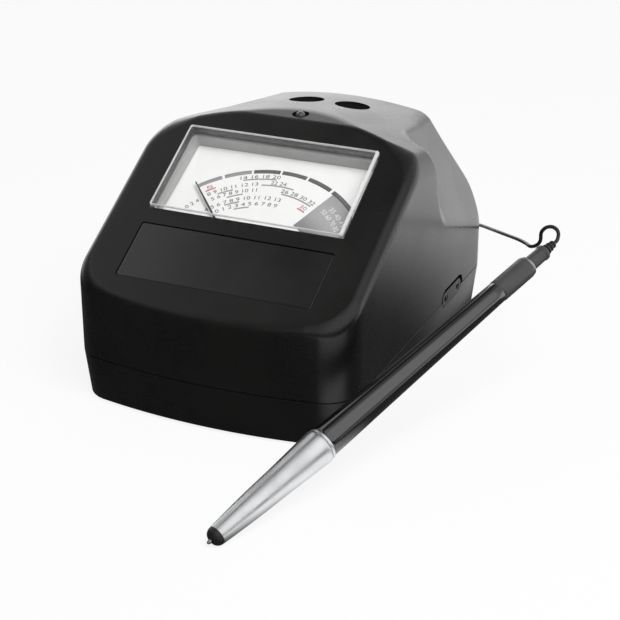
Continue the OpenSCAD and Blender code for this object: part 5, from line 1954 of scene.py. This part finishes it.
@dataclass
class Wand:
    """The probe wand, turned about its axis.

    Attributes:
        nose: Distance of the cone's front rim from the tip, and its radius.
        cone: Distance of the cone's rear rim, and its radius.
        barrel: Distances of the barrel's ends, and its radii there.
        collar: Distance of the collar's rear end, and its radius.
        sleeve: Distances of the sleeve's ends, and its radius.
        relief: Radius of the strain relief.
        bore: Radius of the bore for the lead.
        sides: Points in each circle.
    """

    nose: Pair = (3.6, 2.95)
    cone: Pair = (44.0, 5.3)
    barrel: tuple[float, float, float, float] = (45.2, 122.2, 4.75, 3.4)
    collar: Pair = (136.2, 3.52)
    sleeve: tuple[float, float, float] = (137.0, 145.0, 2.4)
    relief: float = 1.9
    bore: float = 1.3
    sides: int = 72
    axis: Placing = field(init=False)

    def __post_init__(self) -> None:
        """Sets the frame whose third axis is the wand's."""
        way = np.array(WAND_AXIS)
        level = np.array((way[1], -way[0], 0.0)) / math.hypot(way[0], way[1])
        self.axis = Placing(WAND_TIP, tuple(level), tuple(np.cross(way, level)))

    def turn(self, name: str, line: np.ndarray, finish: Finish, node: str,
             body: str = "wand") -> None:
        """Turns a profile about the wand's axis into a piece that stands for a node."""
        fitted(name, turned(line, self.axis, self.sides, True), finish, node, body)

    def front(self) -> None:
        """The pin, the domed nose and the plated cone.

        The nose is a quarter ellipse. The cone's radius runs from rim to rim in a straight line
        with a slight swell near the front.
        """
        s0, r0 = self.nose
        pin = eased(((CORE, 0.0, 0), (0.32, 0.0, 0.15), (0.6, 0.55, 0.3), (0.6, 8.7, 0),
                     (CORE, 8.7, 0), (CORE, 0, 0)), 4)
        self.turn("pin_point", pin, PROBE_METAL, "probe_pin", "probe_tip")
        q = np.linspace(0.0, np.pi / 2, 14)
        dome = np.stack([0.7 + (r0 - 0.75) * np.sin(q), s0 - 2.4 * np.cos(q)], -1)
        line = np.concatenate([dome, [[1.88, s0], [1.88, 8.6], [0.66, 8.6], [0.66, 1.25], dome[0]]])
        self.turn("nose_dome", line, NOSE_CERAMIC, "nose_insulator")
        s1, r1 = self.cone
        x = np.linspace(0.0, 1.0, 40)
        swell = 0.16 * np.sin(np.pi * np.clip(x / 0.6, 0, 1))
        skin = np.stack([r0 + (r1 - r0) * x + swell, s0 + 0.35 + (s1 - 0.75 - s0) * x], -1)
        rear = [[r1 - 0.05, s1 - 0.18], [r1 - 0.3, s1 - 0.02], [1.2, s1 - 0.02], [1.2, 25.0],
                [1.95, 25.0]]
        front = [[1.95, s0], [r0 - 0.25, s0], [r0 - 0.07, s0 + 0.1]]
        line = np.concatenate([front, skin, rear, front[:1]])
        self.turn("cone_shell", line, WAND_CHROME, "nose_cone")

    def middle(self) -> None:
        """The bright ring behind the cone and the tapered barrel."""
        (s0, s1, r0, r1), bore = self.barrel, self.bore
        ring = eased(((bore, s0 - 1.2, 0), (4.4, s0 - 1.2, 0), (4.4, s0 - 0.85, 0),
                      (5.1, s0 - 0.85, 0.2), (5.1, s0, 0.2), (bore, s0, 0),
                      (bore, s0 - 1.2, 0)), 4)
        self.turn("cone_ring", ring, WAND_CHROME, "wand_ring")
        s = np.linspace(s0 + 0.9, s1 - 0.4, 30)
        skin = np.stack([r0 + (r1 - r0) * (s - s0) / (s1 - s0), s], -1)
        front = [[bore, s0], [r0 - 0.55, s0], [r0 - 0.25, s0 + 0.12], [r0 - 0.05, s0 + 0.4]]
        rear = [[r1 - 0.08, s1 - 0.1], [r1 - 0.25, s1], [2.4, s1], [2.4, s0 + 3], [bore, s0 + 3],
                [bore, s0]]
        self.turn("barrel_tube", np.concatenate([front, skin, rear]), BARREL_PLASTIC, "wand_barrel")

    def tail(self) -> None:
        """The soft collar, its ring, the sleeve and the ribbed strain relief."""
        s0, (s1, r), bore = self.barrel[1], self.collar, self.bore
        line = eased(((2.1, s0, 0), (r - 0.3, s0, 0), (r, s0 + 0.7, 0.4), (r, s1, 0.35),
                      (bore, s1, 0), (bore, s1 - 2, 0), (2.1, s1 - 2, 0), (2.1, s0, 0)), 5)
        self.turn("collar_grip", line, COLLAR_RUBBER, "tail_collar")
        a, b, q = self.sleeve
        ring = eased(((bore, s1, 0), (r - 0.2, s1, 0.15), (r - 0.2, a, 0.15), (bore, a, 0),
                      (bore, s1, 0)), 4)
        self.turn("collar_band", ring, SCREW_STEEL, "collar_ring")
        line = eased(((bore, a, 0), (q, a, 0.2), (q - 0.1, b - 1.5, 0.3), (q + 0.1, b - 1.2, 0.3),
                      (q + 0.1, b, 0.3), (bore, b, 0), (bore, a, 0)), 4)
        self.turn("sleeve_tube", line, COLLAR_RUBBER, "tail_sleeve")
        r, end = self.relief, WAND_END
        s = np.linspace(b, end, 61)
        share = (s - b) / (end - b)
        rib = 0.5 + 0.5 * np.cos(2 * np.pi * 3.5 * share)
        outer = r - 0.75 * share - 0.42 * (1 - rib) ** 2
        line = np.concatenate([[[0.45, b]], np.stack([outer, s], -1), [[0.45, end], [0.45, b]]])
        self.turn("relief_ribs", line, LEAD_RUBBER, "strain_relief")

    def build(self) -> None:
        """Builds every piece of the wand."""
        self.front()
        self.middle()
        self.tail()


@dataclass
class Insides:
    """The nodes of the frame that show as they are, and their finishes.

    Attributes:
        finishes: The finish of each node.
    """

    finishes: dict[str, Finish] = field(default_factory=lambda: {
        "battery_cells": CELL_JACKET, "cell_contacts": SPRING_STEEL, "main_board": CIRCUIT_BOARD,
        "control_chip": CHIP_PLASTIC, "board_capacitors": CHIP_PLASTIC, "buzzer": CHIP_PLASTIC,
        "board_screws": SCREW_STEEL, "power_socket_sleeves": SOCKET_NICKEL,
        "left_switch_stem": STEM_PLASTIC, "right_switch_stem": STEM_PLASTIC,
        "switch_bodies": CHIP_PLASTIC, "switch_board": CIRCUIT_BOARD,
        "switch_board_screws": SCREW_STEEL, "meter_screws": SCREW_STEEL, "dial_plate": DIAL_ENAMEL,
        "ring_magnet": MAGNET_IRON, "iron_core": MAGNET_IRON, "meter_bridge": CONTACT_BRASS,
        "moving_coil": COIL_COPPER, "coil_pivots": SPRING_STEEL, "heater_block": CONTACT_BRASS,
        "pin_spring": SPRING_STEEL, "wand_board": CIRCUIT_BOARD})

    def dress(self) -> None:
        """Gives each of these nodes its finish."""
        for name, finish in self.finishes.items():
            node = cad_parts[name]
            node.data.materials.clear()
            node.data.materials.append(finish.material())
            LOG.info("%s: %s", name, finish.name)


def main() -> None:
    """Builds the stage and every sub-assembly."""
    logging.basicConfig(level=logging.INFO, format="%(message)s")
    bpy.context.scene.view_settings.view_transform = "Standard"
    stage = Stage()
    stage.camera()
    Lead().build()
    for part in (Body(), Controls(), Meter(), Wand()):
        part.build()
    Insides().dress()
    stage.light()


if __name__ == "__main__":
    main()
